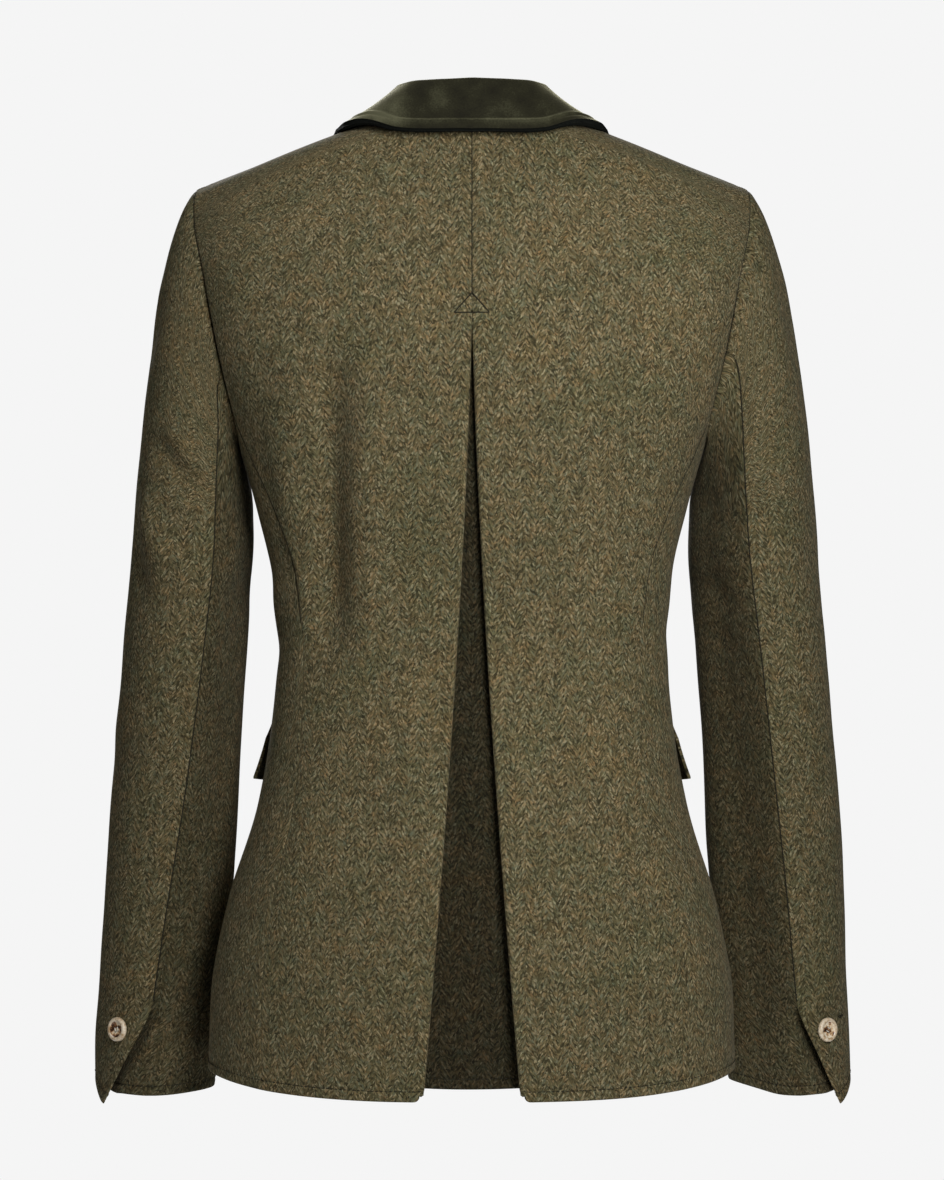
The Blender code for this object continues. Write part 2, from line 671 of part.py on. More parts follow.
def sleeve_point(angle, run, hem):
    """Point of the sleeve; run is 0 at the armhole and 1 at the cuff, whose height is hem."""
    angle, run, hem = np.broadcast_arrays(np.asarray(angle, float), run, hem)
    begin = hole_point(angle)
    top_part = 0.5 + 0.5 * np.cos(np.radians(angle))
    finish = sleeve_ring(angle, np.full_like(angle, BICEP_Z))
    below = sleeve_ring(angle, np.full_like(angle, BICEP_Z - 0.01))
    span = np.linalg.norm(finish - begin, axis=-1, keepdims=True)
    side_part = np.sin(np.radians(np.mod(angle, 360.0) / 2.0))
    leave = np.stack([CAP_LEAVE_OUT + 0.0 * angle, 0.0 * angle, -CAP_LEAVE_DOWN * top_part ** 2], axis=-1)
    reach = CAP_REACH + (CAP_REACH_SIDES * side_part + CAP_REACH_TIP) * top_part
    first = begin + leave * reach[..., None]
    second = finish - unit(below - finish) * span * CAP_HANG
    part = np.clip(run / CAP_SHARE, 0.0, 1.0)[..., None]
    rest = 1.0 - part
    cap = (rest ** 3 * begin + 3 * rest ** 2 * part * first + 3 * rest * part ** 2 * second
           + part ** 3 * finish)
    height = BICEP_Z + (hem - BICEP_Z) * np.clip((run - CAP_SHARE) / (1.0 - CAP_SHARE), 0.0, 1.0)
    tube = sleeve_ring(angle, height)
    return np.where((run < CAP_SHARE)[..., None], cap, tube)


def vent_part(run):
    """0 above the vent, 1 at the cuff."""
    vent_run = CAP_SHARE + (1.0 - CAP_SHARE) * (BICEP_Z - VENT_TOP_Z) / (BICEP_Z - CUFF_Z)
    return np.clip((run - vent_run) / (1.0 - vent_run), 0.0, 1.0)


def vent_edge(run, side):
    """Angle of the top sleeve's back edge: the elbow seam, then the slanting edge of the vent."""
    seam = np.cos(np.radians(smooth(SLEEVE_SEAM_ROWS, "elbow_" + side, run)))
    point = math.cos(math.radians(VENT_POINT_ANGLE))
    return np.degrees(np.arccos(seam + (point - seam) * vent_part(run) ** 1.2))


def fuller(points, angle, run, fullness):
    """Let the outer side of one sleeve hang a little further out, or in."""
    moved = points.copy()
    here = ease(run / CAP_SHARE) * (1.0 - ease((run - FULLNESS_FADE) / (1.0 - FULLNESS_FADE)))
    moved[..., 0] += fullness * (0.5 + 0.5 * np.cos(np.radians(angle))) * here
    return moved


def top_sleeve(runs, columns, fullness, side):
    run = runs[:, None]
    part = spread(columns)[None, :]
    slit = vent_part(run)
    gap = np.degrees(SEAM / 2 / SEAM_RADIUS)
    elbow = vent_edge(run, side) - gap
    fore = smooth(SLEEVE_SEAM_ROWS, "fore", run) - 360.0 + gap
    angle = fore + (elbow - fore) * part
    near = np.clip(1.0 - (elbow - angle) / VENT_POINT_REACH, 0.0, 1.0) ** 2
    arch = CUFF_ARCH * np.exp(-((angle - CUFF_ARCH_ANGLE) / CUFF_ARCH_WIDTH) ** 2)
    hem = CUFF_Z + arch - VENT_POINT_DROP * near * slit
    points = fuller(sleeve_point(angle, run + 0.0 * part, hem), angle, run, fullness)
    height = points[..., 2]
    outward = unit(points - sleeve_middle(height))
    return points + outward * (VENT_FLARE * near * ease(slit * 2.0))[..., None]


def under_sleeve(runs, columns, fullness, side):
    run = runs[:, None]
    part = spread(columns)[None, :]
    slit = vent_part(run)
    gap = np.degrees(SEAM / 2 / SEAM_RADIUS)
    seam = smooth(SLEEVE_SEAM_ROWS, "elbow_" + side, run)
    edge = vent_edge(run, side)
    passed = ease((slit - UNDERLAP_START) / (UNDERLAP_FULL - UNDERLAP_START))
    elbow = seam + gap - (seam - edge + UNDERLAP + gap) * passed
    fore = smooth(SLEEVE_SEAM_ROWS, "fore", run) - gap
    angle = elbow + (fore - elbow) * part
    low_angle, high_angle = UNDERLAP_RISE_ANGLES
    hem = CUFF_Z + UNDERLAP_RISE * ease((low_angle - angle) / (low_angle - high_angle)) * slit
    points = fuller(sleeve_point(angle, run + 0.0 * part, hem), angle, run, fullness)
    height = points[..., 2]
    inward = unit(sleeve_middle(height) - points)
    tucked = ease((edge + UNDERLAP_TUCK_START - angle) / UNDERLAP_TUCK_WIDTH)
    tuck = UNDERLAP_DEPTH * ease(slit / UNDERLAP_START) * tucked
    return points + inward * tuck[..., None]


CAP_RUNS = CAP_SHARE * np.array((0.0, 0.05, 0.14, 0.26, 0.40, 0.56, 0.73, 0.88, 1.0))
ARM_RUNS = np.linspace(CAP_SHARE, CUFF_START, 9)[1:]
CUFF_RUNS = np.linspace(CUFF_START, 1.0, 7)[1:]
SLEEVE_RUNS = np.concatenate([CAP_RUNS, ARM_RUNS, CUFF_RUNS])[::-1]
cloth("sleeve_top_left", top_sleeve(SLEEVE_RUNS, 13, LEFT_FULLNESS, "left"))
cloth("sleeve_top_right", top_sleeve(SLEEVE_RUNS, 13, RIGHT_FULLNESS, "right"), mirrored=True)
cloth("sleeve_under_left", under_sleeve(SLEEVE_RUNS, 9, LEFT_FULLNESS, "left"))
cloth("sleeve_under_right", under_sleeve(SLEEVE_RUNS, 9, RIGHT_FULLNESS, "right"), mirrored=True)

# Pocket flaps, sewn at their tops on front and side panel, their back ends standing off the hip

FLAP_TOP_LEVEL = 0.362
FLAP_LOW_LEVEL = 0.300
FLAP_BACK_ANGLE = 92.0
FLAP_FRONT_ANGLE = 140.0
FLAP_STAND = 0.0040
FLAP_LIFT = 0.0012
FLAP_SLANT = 0.010
FLAP_ROUND = 0.16
FLAP_ROUND_DEPTH = 0.34


def flap(rows, columns):
    down = np.linspace(1.0, 0.0, rows)[:, None]
    part = np.linspace(0.0, 1.0, columns)[None, :]
    angle = FLAP_FRONT_ANGLE + (FLAP_BACK_ANGLE - FLAP_FRONT_ANGLE) * part + 0.0 * down
    slant = -FLAP_SLANT * (1.0 - part)
    corner = np.clip((FLAP_ROUND - part) / FLAP_ROUND, 0.0, 1.0)
    depth = 1.0 - FLAP_ROUND_DEPTH * (1.0 - np.sqrt(1.0 - corner ** 2))
    level = FLAP_TOP_LEVEL + slant + (FLAP_LOW_LEVEL - FLAP_TOP_LEVEL) * down * depth
    stand = CLOTH + LAP + (FLAP_LIFT + FLAP_STAND * part ** 1.5) * down ** 1.3
    return torso_at(angle, level) + torso_normal(angle, level) * stand[..., None]


flap_points = flap(5, 11)
cloth("flap_left", flap_points)
cloth("flap_right", flap_points, mirrored=True)

# Horn buttons: two on the cuffs and two that close the front

BUTTON_ROUND = 0.0011
BUTTON_GAP = 0.0001
BUTTON_REACH = 0.012
OTHER_SIDE = np.array([-1.0, 1.0, 1.0])
CUFF_BUTTON_ANGLE = 57.0
CUFF_BUTTON_Z = -0.637


def button(name, centre, outward):
    """A round button with a softened rim, lying on the cloth at a point."""
    work = bmesh.new()
    bmesh.ops.create_cone(work, cap_ends=True, segments=16, radius1=BUTTON_RADIUS,
                          radius2=BUTTON_RADIUS, depth=BUTTON_THICK)
    rim = [edge for edge in work.edges if abs(edge.verts[0].co.z - edge.verts[1].co.z) < 1e-6]
    bmesh.ops.bevel(work, geom=rim, offset=BUTTON_ROUND, segments=2, profile=0.5, affect="EDGES",
                    clamp_overlap=True, material=-1)
    side = unit(np.cross(np.array([0.0, 0.0, 1.0]), outward))
    upward = np.cross(outward, side)
    for vert in work.verts:
        local = np.array(vert.co)
        vert.co = centre + side * local[0] + upward * local[1] + outward * local[2]
    mesh = bpy.data.meshes.new(name)
    work.to_mesh(mesh)
    work.free()
    return add_object(name, mesh, "horn")


def seated(points, spot, outward):
    """Middle of a button that lies on the flat faces of a cloth piece, on the line through a spot."""
    flat = []
    for over in np.linspace(0.0, 1.0, 17):
        flat.append((points[:-1, :-1] * (1.0 - over) + points[1:, 1:] * over).reshape(-1, 3))
        flat.append((points[:-1, 1:] * (1.0 - over) + points[1:, :-1] * over).reshape(-1, 3))
        for up in np.linspace(0.0, 1.0, 9):
            low = points[:-1, :-1] * (1.0 - over) + points[:-1, 1:] * over
            high = points[1:, :-1] * (1.0 - over) + points[1:, 1:] * over
            flat.append((low * (1.0 - up) + high * up).reshape(-1, 3))
    away = np.concatenate(flat) - spot
    height = away @ outward
    aside = np.linalg.norm(away - height[:, None] * outward, axis=1)
    under = (aside < BUTTON_RADIUS) & (np.abs(height) < BUTTON_REACH)
    return spot + outward * (height[under].max() + BUTTON_GAP + BUTTON_THICK / 2)


cuff_turn = math.radians(CUFF_BUTTON_ANGLE)
cuff_out = np.array([math.cos(cuff_turn), math.sin(cuff_turn), 0.0])
cuff_spot = sleeve_ring(np.array(CUFF_BUTTON_ANGLE), np.array(CUFF_BUTTON_Z))
left_at = seated(top_sleeve(SLEEVE_RUNS, 13, LEFT_FULLNESS, "left"), cuff_spot, cuff_out)
right_at = seated(top_sleeve(SLEEVE_RUNS, 13, RIGHT_FULLNESS, "right"), cuff_spot, cuff_out)
button("cuff_button_left", left_at, cuff_out)
button("cuff_button_right", right_at * OTHER_SIDE, cuff_out * OTHER_SIDE)

right_front = front_panel(FRONT_LEVELS, 10, FRONT_LAP) * OTHER_SIDE
FRONT_BUTTON_LEVELS = (("front_button_upper", 0.430), ("front_button_lower", 0.305))
for button_name, button_level in FRONT_BUTTON_LEVELS:
    facing = torso_normal(np.array(180.0), np.array(button_level))
    button(button_name, seated(right_front, torso_at(180.0, button_level), facing), facing)
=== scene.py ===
"""Looks of the alpine jacket: herringbone tweed with a velvet collar, filled out as worn and hollow.

Metres. The front faces -Y, +Z is up, +X is the wearer's left, as in the solids.
"""
import math

import bmesh
import bpy
import numpy as np
from mathutils import Matrix, Vector


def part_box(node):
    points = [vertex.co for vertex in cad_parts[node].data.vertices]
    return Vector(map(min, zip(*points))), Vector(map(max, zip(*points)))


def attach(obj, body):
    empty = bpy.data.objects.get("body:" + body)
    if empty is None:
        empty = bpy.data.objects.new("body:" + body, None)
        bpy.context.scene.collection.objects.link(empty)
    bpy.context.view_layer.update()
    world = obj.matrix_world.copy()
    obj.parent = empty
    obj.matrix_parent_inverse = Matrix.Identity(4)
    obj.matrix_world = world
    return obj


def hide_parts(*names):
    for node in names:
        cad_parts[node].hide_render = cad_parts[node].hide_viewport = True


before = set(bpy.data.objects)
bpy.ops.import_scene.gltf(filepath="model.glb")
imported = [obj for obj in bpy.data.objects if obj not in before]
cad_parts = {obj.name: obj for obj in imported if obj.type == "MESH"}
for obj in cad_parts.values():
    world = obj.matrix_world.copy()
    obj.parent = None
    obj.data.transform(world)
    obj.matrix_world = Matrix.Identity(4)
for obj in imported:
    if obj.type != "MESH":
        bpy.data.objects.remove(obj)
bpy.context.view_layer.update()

# Back panels
# Two panels of heavy herringbone wool tweed, sewn together at the centre back down to the arrowhead.
# Below it each one is pressed to a fold and turned in as one side of an inverted pleat.

CLOTH = 0.0018
SEAM = 0.00004
SHOULDER_HALF = 0.0007
NECK_HALF = 0.063
NECK_ROUND = 2.2
NAPE_LEVEL = 0.930
SHOULDER_LEVEL = 0.9996
UNDERARM_LEVEL = 0.650
SIDE_BACK_TOP = 0.685
SIDE_FRONT_TOP = 0.675
SEAM_BLEND_LEVEL = 0.50
ARROWHEAD_LEVEL = 0.776
ARROWHEAD_Z = -0.140
PLEAT_HALF_AT_HEM = 0.0325
PLEAT_SPREAD = 1.4
PLEAT_TURN = 0.0026
PLEAT_RETURN_TOP = 0.0012
PLEAT_RETURN_HEM = 0.0140
TURN_ANGLES = np.radians((12.0, 26.0, 42.0, 60.0, 80.0, 100.0, 120.0))
HEM_CORNER = 0.0045
LENGTH_PER_LEVEL = 0.706
HEM_STITCH = 0.0070
SEAM_SHOWN_LEVEL = 0.46
SEAM_COLUMN = 2
SEAM_THREAD_OFF = 0.0003
SHARP_EDGE = math.radians(55.0)
EDGE_ROUND = 0.0022
EDGE_SINK = 0.0011
ARMHOLE_SINK = 0.0030
ARMHOLE_WIDER = 0.0022
ARMHOLE_SINK_END = 0.93
TIP_DROP = 0.0008
TIP_DROP_ASIDE = 0.018
TIP_DROP_UNDER = 0.016
SEAM_HOLD = 0.012
CREASE_HOLD = 0.005
EDGE_STEPS = np.array((0.0, 0.0005, 0.0011, 0.0019, 0.0030, 0.0046))
HEM_STEPS = np.array((0.0, 0.0005, 0.0011, 0.0019, 0.0030, 0.0046, 0.0058, 0.0063, 0.0067, 0.0071, 0.0075,
                      0.0080, 0.0095, 0.0120, 0.0150))
OTHER_SIDE = np.array((-1.0, 1.0, 1.0))
PIECE_SHIFT = np.array((0.2465, 0.53))

TORSO_ROWS = (
    ("level", "z_back", "z_side", "z_front", "half", "back", "front", "square", "tilt"),
    (0.000, -0.6705, -0.661, -0.676, 0.1840, 0.1230, 0.1220, 2.15, 4.0),
    (0.080, -0.614, -0.610, -0.616, 0.1822, 0.1240, 0.1180, 2.15, 4.0),
    (0.180, -0.544, -0.542, -0.545, 0.1702, 0.1200, 0.1130, 2.15, 2.0),
    (0.280, -0.474, -0.474, -0.474, 0.1495, 0.1080, 0.1070, 2.15, 2.0),
    (0.360, -0.420, -0.420, -0.420, 0.1402, 0.0960, 0.1040, 2.15, 2.0),
    (0.435, -0.369, -0.369, -0.369, 0.1362, 0.0890, 0.1050, 2.15, 2.0),
    (0.510, -0.318, -0.318, -0.318, 0.1398, 0.0905, 0.1140, 2.20, 2.0),
    (0.580, -0.272, -0.272, -0.272, 0.1500, 0.0985, 0.1240, 2.30, 2.0),
    (0.650, -0.228, -0.228, -0.228, 0.1620, 0.1050, 0.1250, 2.45, 2.0),
    (0.740, -0.165, -0.170, -0.160, 0.1810, 0.1090, 0.1180, 2.70, 2.0),
    (0.820, -0.108, -0.122, -0.098, 0.1915, 0.1020, 0.0980, 2.90, 2.0),
    (0.880, -0.060, -0.092, -0.052, 0.1985, 0.0860, 0.0760, 2.90, 1.8),
    (0.930, -0.004, -0.075, -0.012, 0.2020, 0.0640, 0.0540, 2.80, 1.6),
    (0.970, 0.016, -0.059, 0.010, 0.2034, 0.0400, 0.0350, 2.70, 1.25),
    (1.000, 0.028, -0.0505, 0.028, 0.2036, 0.0000, 0.0000, 2.60, 1.0),
)
ARMHOLE_ROWS = (
    ("level", "back", "front"),
    (0.650, 0.00, 0.00),
    (0.665, 0.22, 0.27),
    (0.700, 0.35, 0.42),
    (0.740, 0.42, 0.50),
    (0.800, 0.46, 0.55),
    (0.880, 0.48, 0.56),
    (0.940, 0.47, 0.51),
    (1.000, 0.46, 0.46),
)
SIDE_SEAM_ROWS = (
    ("level", "side_back", "side_front"),
    (0.000, 50.0, 118.0),
    (0.280, 54.0, 116.0),
    (0.435, 58.0, 114.0),
    (0.580, 60.0, 112.0),
    (0.690, 68.0, 109.0),
)
# Folds and creases on the flat cut: ends of the line across and up from the hem, bow to the side,
# width, height of the ridge, less than nothing for a trough
BACK_LEFT_CREASES = (
    ("from_across", "from_up", "to_across", "to_up", "bow", "width", "rise"),
    (-0.102, 0.275, -0.092, 0.540, 0.004, 0.017, -0.0095),
    (-0.074, 0.260, -0.066, 0.550, 0.003, 0.018, 0.0060),
    (-0.120, 0.380, -0.126, 0.500, 0.002, 0.010, -0.0018),
    (-0.060, 0.120, -0.085, 0.300, 0.006, 0.020, -0.0010),
    (-0.030, 0.180, -0.050, 0.420, 0.004, 0.018, 0.0008),
    (-0.150, 0.520, -0.120, 0.610, 0.004, 0.014, -0.0012),
)
BACK_RIGHT_CREASES = (
    ("from_across", "from_up", "to_across", "to_up", "bow", "width", "rise"),
    (0.106, 0.375, 0.116, 0.510, -0.003, 0.014, -0.0018),
    (0.060, 0.260, 0.075, 0.430, 0.004, 0.020, -0.0010),
    (0.055, 0.090, 0.085, 0.270, -0.005, 0.020, 0.0009),
    (0.152, 0.520, 0.128, 0.610, -0.004, 0.014, -0.0011),
)


def smooth(rows, name, at):
    """Curve through a named column of a table against its first column, without overshoot."""
    table = np.array(rows[1:], float)
    knots = table[:, 0]
    values = table[:, rows[0].index(name)]
    at = np.asarray(at, float)
    if knots[0] > knots[-1]:
        knots = -knots
        at = -at
    step = np.diff(knots)
    slope = np.diff(values) / step
    bend = np.zeros_like(values)
    product = slope[:-1] * slope[1:]
    total = slope[:-1] + slope[1:]
    safe = np.where(product > 0, total, 1.0)
    bend[1:-1] = np.where(product > 0, 2.0 * product / safe, 0.0)
    bend[0] = slope[0]
    bend[-1] = slope[-1]
    at = np.clip(at, knots[0], knots[-1])
    span = np.clip(np.searchsorted(knots, at, side="right") - 1, 0, len(step) - 1)
    part = (at - knots[span]) / step[span]
    lift = step[span] * (bend[span] * part * (1 - part) ** 2 - bend[span + 1] * part ** 2 * (1 - part))
    blend = part * part * (3 - 2 * part)
    return values[span] * (1 - blend) + values[span + 1] * blend + lift


def ring(name, level):
    return smooth(TORSO_ROWS, name, level)


def ease(value):
    value = np.clip(value, 0.0, 1.0)
    return value * value * (3 - 2 * value)


def unit(vectors):
    return vectors / np.maximum(np.linalg.norm(vectors, axis=-1, keepdims=True), 1e-12)


def torso_at(angle, level):
    """Point of the torso at an angle round its ring, 0 at the back and 180 at the front."""
    angle, level = np.broadcast_arrays(np.radians(angle), np.asarray(level, float))
    half = ring("half", level)
    square = ring("square", level)
    sine = np.sin(angle)
    cosine = np.cos(angle)
    out = half * np.sign(sine) * np.abs(sine) ** (2.0 / square)
    depth = np.where(cosine >= 0, ring("back", level), ring("front", level))
    deep = depth * np.sign(cosine) * np.abs(cosine) ** (2.0 / square)
    middle = np.where(cosine >= 0, ring("z_back", level), ring("z_front", level))
    share = np.abs(out) / half
    height = middle + (ring("z_side", level) - middle) * share ** ring("tilt", level)
    return np.stack([out, deep, height], axis=-1)


def angle_of(out, level, front=False):
    """Angle round the ring at a distance out from the middle."""
    share = np.clip(np.abs(out) / ring("half", level), 0.0, 1.0) ** (ring("square", level) / 2.0)
    turn = np.degrees(np.arcsin(share)) * np.sign(out)
    return 180.0 - turn if front else turn


def degrees_of(length, level):
    """Angle that a short length takes up on the side of the ring."""
    return np.degrees(length / (0.5 * (ring("half", level) + ring("back", level)) + 1e-9))


def armhole_angle(level, front):
    """Angle round the ring where a panel ends at the armhole."""
    part = smooth(ARMHOLE_ROWS, "front" if front else "back", level)
    turn = np.degrees(np.arccos(np.clip(part, 0.0, 1.0) ** (ring("square", level) / 2.0)))
    return 180.0 - turn if front else turn


def panel_side_angle(level, front):
    """Angle of a panel's outer edge: its side seam, then the armhole."""
    name = "side_front" if front else "side_back"
    top = SIDE_FRONT_TOP if front else SIDE_BACK_TOP
    seam = smooth(SIDE_SEAM_ROWS, name, level)
    hole = armhole_angle(np.maximum(level, UNDERARM_LEVEL), front)
    shift = armhole_angle(top, front) - smooth(SIDE_SEAM_ROWS, name, top)
    seam = seam + shift * ease((level - SEAM_BLEND_LEVEL) / (top - SEAM_BLEND_LEVEL))
    return np.where(level < top, seam, hole)


def shares(width, step=0.0034):
    """Parts of the way across a piece, close together beside its edges so that they can be rounded."""
    edge = EDGE_STEPS / width
    middle = np.linspace(edge[-1], 1.0 - edge[-1], max(4, round(width / step)))[1:-1]
    return np.concatenate([edge, middle, 1.0 - edge[::-1]])


def normals(points):
    """Outward direction at each point of a grid seen from outside."""
    return unit(np.cross(np.gradient(points, axis=1), np.gradient(points, axis=0)))


def lay_flat(points, column, start=0.0):
    """Place of each point on the flat cut, across from a column and up from the lowest row."""
    steps = np.linalg.norm(np.diff(points, axis=1), axis=-1)
    across = np.concatenate([np.zeros((len(points), 1)), np.cumsum(steps, axis=1)], axis=1)
    across = across - across[:, column:column + 1] + start
    rises = np.linalg.norm(np.diff(points, axis=0), axis=-1)
    rises = np.concatenate([np.zeros((1, points.shape[1])), np.cumsum(rises, axis=0)], axis=0)
    return np.stack([across, np.broadcast_to(rises[:, column:column + 1], across.shape)], axis=-1)


def held_by_seams(flat, reach):
    """0 at the sewn side and top edges of a piece, which hold the cloth flat, and 1 away from them."""
    across = np.abs(flat[..., 0] - flat[:, :1, 0])
    wide = np.abs(flat[:, -1:, 0] - flat[:, :1, 0])
    gap = np.minimum(np.minimum(across, wide - across), flat[-1:, :, 1] - flat[..., 1])
    return ease(gap / reach)


def press(points, flat, creases):
    """Soft troughs and ridges, each with a slight lip on one side."""
    height = np.zeros(points.shape[:2])
    for from_across, from_up, to_across, to_up, bow, width, rise in creases[1:]:
        way = np.array((to_across - from_across, to_up - from_up))
        length = np.linalg.norm(way)
        way = way / length
        away = flat - np.array((from_across, from_up))
        along = np.clip((away @ way) / length, 0.0, 1.0)
        aside = (away[..., 1] * way[0] - away[..., 0] * way[1] - 4.0 * bow * along * (1.0 - along)) / width
        fade = ease(along / 0.35) * ease((1.0 - along) / 0.35)
        height += rise * fade * (np.exp(-aside ** 2) - 0.35 * np.exp(-(aside - 1.7) ** 2))
    return points + normals(points) * (height * held_by_seams(flat, CREASE_HOLD))[..., None]


def slacken(points, flat, amount, seed):
    """Slight unevenness of cloth that nothing holds flat."""
    draw = np.random.default_rng(seed)
    height = np.zeros(points.shape[:2])
    for length in (0.034, 0.047, 0.063, 0.088, 0.120):
        turn = draw.uniform(0.0, 2.0 * math.pi)
        shift = draw.uniform(0.0, 2.0 * math.pi)
        way = np.array((math.cos(turn), 0.6 * math.sin(turn)))
        height += amount * (length / 0.09) * np.sin(flat @ way * (2.0 * math.pi / length) + shift)
    return points + normals(points) * (height * held_by_seams(flat, SEAM_HOLD))[..., None]


def round_edges(points, flat, left=True, right=True, low=True, high=True,
                depth=EDGE_SINK, reach=EDGE_ROUND):
    """Let the edges of a piece roll inward, as a pressed seam or a turned hem does."""
    beyond = np.zeros(points.shape[:2])
    wide = flat[:, -1:, 0] - flat[:, :1, 0]
    across = flat[..., 0] - flat[:, :1, 0]
    up = flat[..., 1]
    for used, gap in ((left, across), (right, wide - across), (low, up), (high, up[-1:] - up)):
        near = np.clip(1.0 - gap / reach, 0.0, 1.0)
        beyond = np.maximum(beyond, np.asarray(used) * (1.0 - np.sqrt(1.0 - near ** 2)))
    return points - normals(points) * (depth * beyond)[..., None]


def drop_tip(points, flat, column):
    """Lower the corner of a panel at the shoulder tip, so that the sleeve head covers it."""
    aside = np.abs(flat[..., 0] - flat[:, column, 0][:, None])
    under = flat[-1:, :, 1] - flat[..., 1]
    lowered = points.copy()
    lowered[..., 2] -= TIP_DROP * ease(1.0 - aside / TIP_DROP_ASIDE) * ease(1.0 - under / TIP_DROP_UNDER)
    return lowered


def stitch_groove(points, up, place=HEM_STITCH, depth=0.0005):
    """The dent that a row of topstitching pulls into the cloth."""
    dent = depth * np.exp(-((up - place) / 0.0008) ** 2)
    return points - normals(points) * dent[..., None]


def calculate(tree, operation, first, second=0.0):
    node = tree.nodes.new("ShaderNodeMath")
    node.operation = operation
    for socket, value in zip(node.inputs, (first, second)):
        if isinstance(value, bpy.types.NodeSocket):
            tree.links.new(value, socket)
        else:
            socket.default_value = value
    return node.outputs[0]


def noise(tree, vector, scale, detail=2.0, rough=0.5):
    node = tree.nodes.new("ShaderNodeTexNoise")
    node.inputs["Scale"].default_value = scale
    node.inputs["Detail"].default_value = detail
    node.inputs["Roughness"].default_value = rough
    tree.links.new(vector, node.inputs["Vector"])
    return node.outputs["Fac"]


def ramp(tree, value, stops):
    node = tree.nodes.new("ShaderNodeValToRGB")
    marks = node.color_ramp.elements
    while len(marks) < len(stops):
        marks.new(0.5)
    for mark, (place, colour) in zip(marks, stops):
        mark.position = place
        mark.color = (*colour, 1.0)
    tree.links.new(value, node.inputs["Fac"])
    return node.outputs["Color"]


def blend(tree, kind, share, first, second):
    node = tree.nodes.new("ShaderNodeMix")
    node.data_type = "RGBA"
    node.blend_type = kind
    for socket, value in ((node.inputs[0], share), (node.inputs[6], first), (node.inputs[7], second)):
        if isinstance(value, bpy.types.NodeSocket):
            tree.links.new(value, socket)
        else:
            socket.default_value = value
    return node.outputs[2]


def combine(tree, *values):
    node = tree.nodes.new("ShaderNodeCombineXYZ")
    for value, socket in zip(values, node.inputs):
        tree.links.new(value, socket)
    return node.outputs[0]


def split(tree, vector):
    node = tree.nodes.new("ShaderNodeSeparateXYZ")
    tree.links.new(vector, node.inputs[0])
    return node.outputs


def rescale(tree, value, from_low, from_high, to_low, to_high):
    node = tree.nodes.new("ShaderNodeMapRange")
    node.inputs["From Min"].default_value = from_low
    node.inputs["From Max"].default_value = from_high
    node.inputs["To Min"].default_value = to_low
    node.inputs["To Max"].default_value = to_high
    tree.links.new(value, node.inputs["Value"])
    return node.outputs[0]


def on_cut(tree):
    """Place on the flat cut, from the piece's own UV map."""
    node = tree.nodes.new("ShaderNodeUVMap")
    node.uv_map = "cut"
    return node.outputs["UV"]


def in_space(tree):
    """Place on the jacket, from the piece's Object coordinates."""
    return tree.nodes.new("ShaderNodeTexCoord").outputs["Object"]


def dented(tree, shader, height, strength, distance):
    node = tree.nodes.new("ShaderNodeBump")
    node.inputs["Strength"].default_value = strength
    node.inputs["Distance"].default_value = distance
    tree.links.new(height, node.inputs["Height"])
    tree.links.new(node.outputs["Normal"], shader.inputs["Normal"])


HERRINGBONE_LEG = 0.00725
TWILL_PITCH = 0.0030
TWILL_TURN = math.radians(57.0)
YARN_WIDE = 0.00075
YARN_LONG = 0.0019
LEG_SHIFT = 7.31
YARN_WANDER = 0.0009
FIBRE_RISE = 0.7
TWILL_RISE = 0.19
FLOAT_RISE = 0.35
WEAVE_DARK = 0.55
WEAVE_LIGHT = 1.45
YARN_COLOURS = (
    (0.00, (0.034, 0.029, 0.015)),
    (0.24, (0.066, 0.055, 0.027)),
    (0.48, (0.106, 0.088, 0.042)),
    (0.64, (0.136, 0.112, 0.056)),
    (0.75, (0.118, 0.118, 0.074)),
    (0.85, (0.178, 0.124, 0.060)),
    (0.95, (0.235, 0.200, 0.118)),
)
DYE_TINTS = (
    (0.34, (0.90, 0.99, 1.01)),
    (0.50, (1.00, 1.00, 1.00)),
    (0.66, (1.10, 0.99, 0.91)),
)
PATCH_TINTS = (
    (0.30, (0.86, 0.92, 0.88)),
    (0.52, (1.00, 1.00, 1.00)),
    (0.70, (1.10, 1.04, 0.97)),
)
LOW_PAINTED_SHADE_HEIGHTS = (-0.245, -0.185)


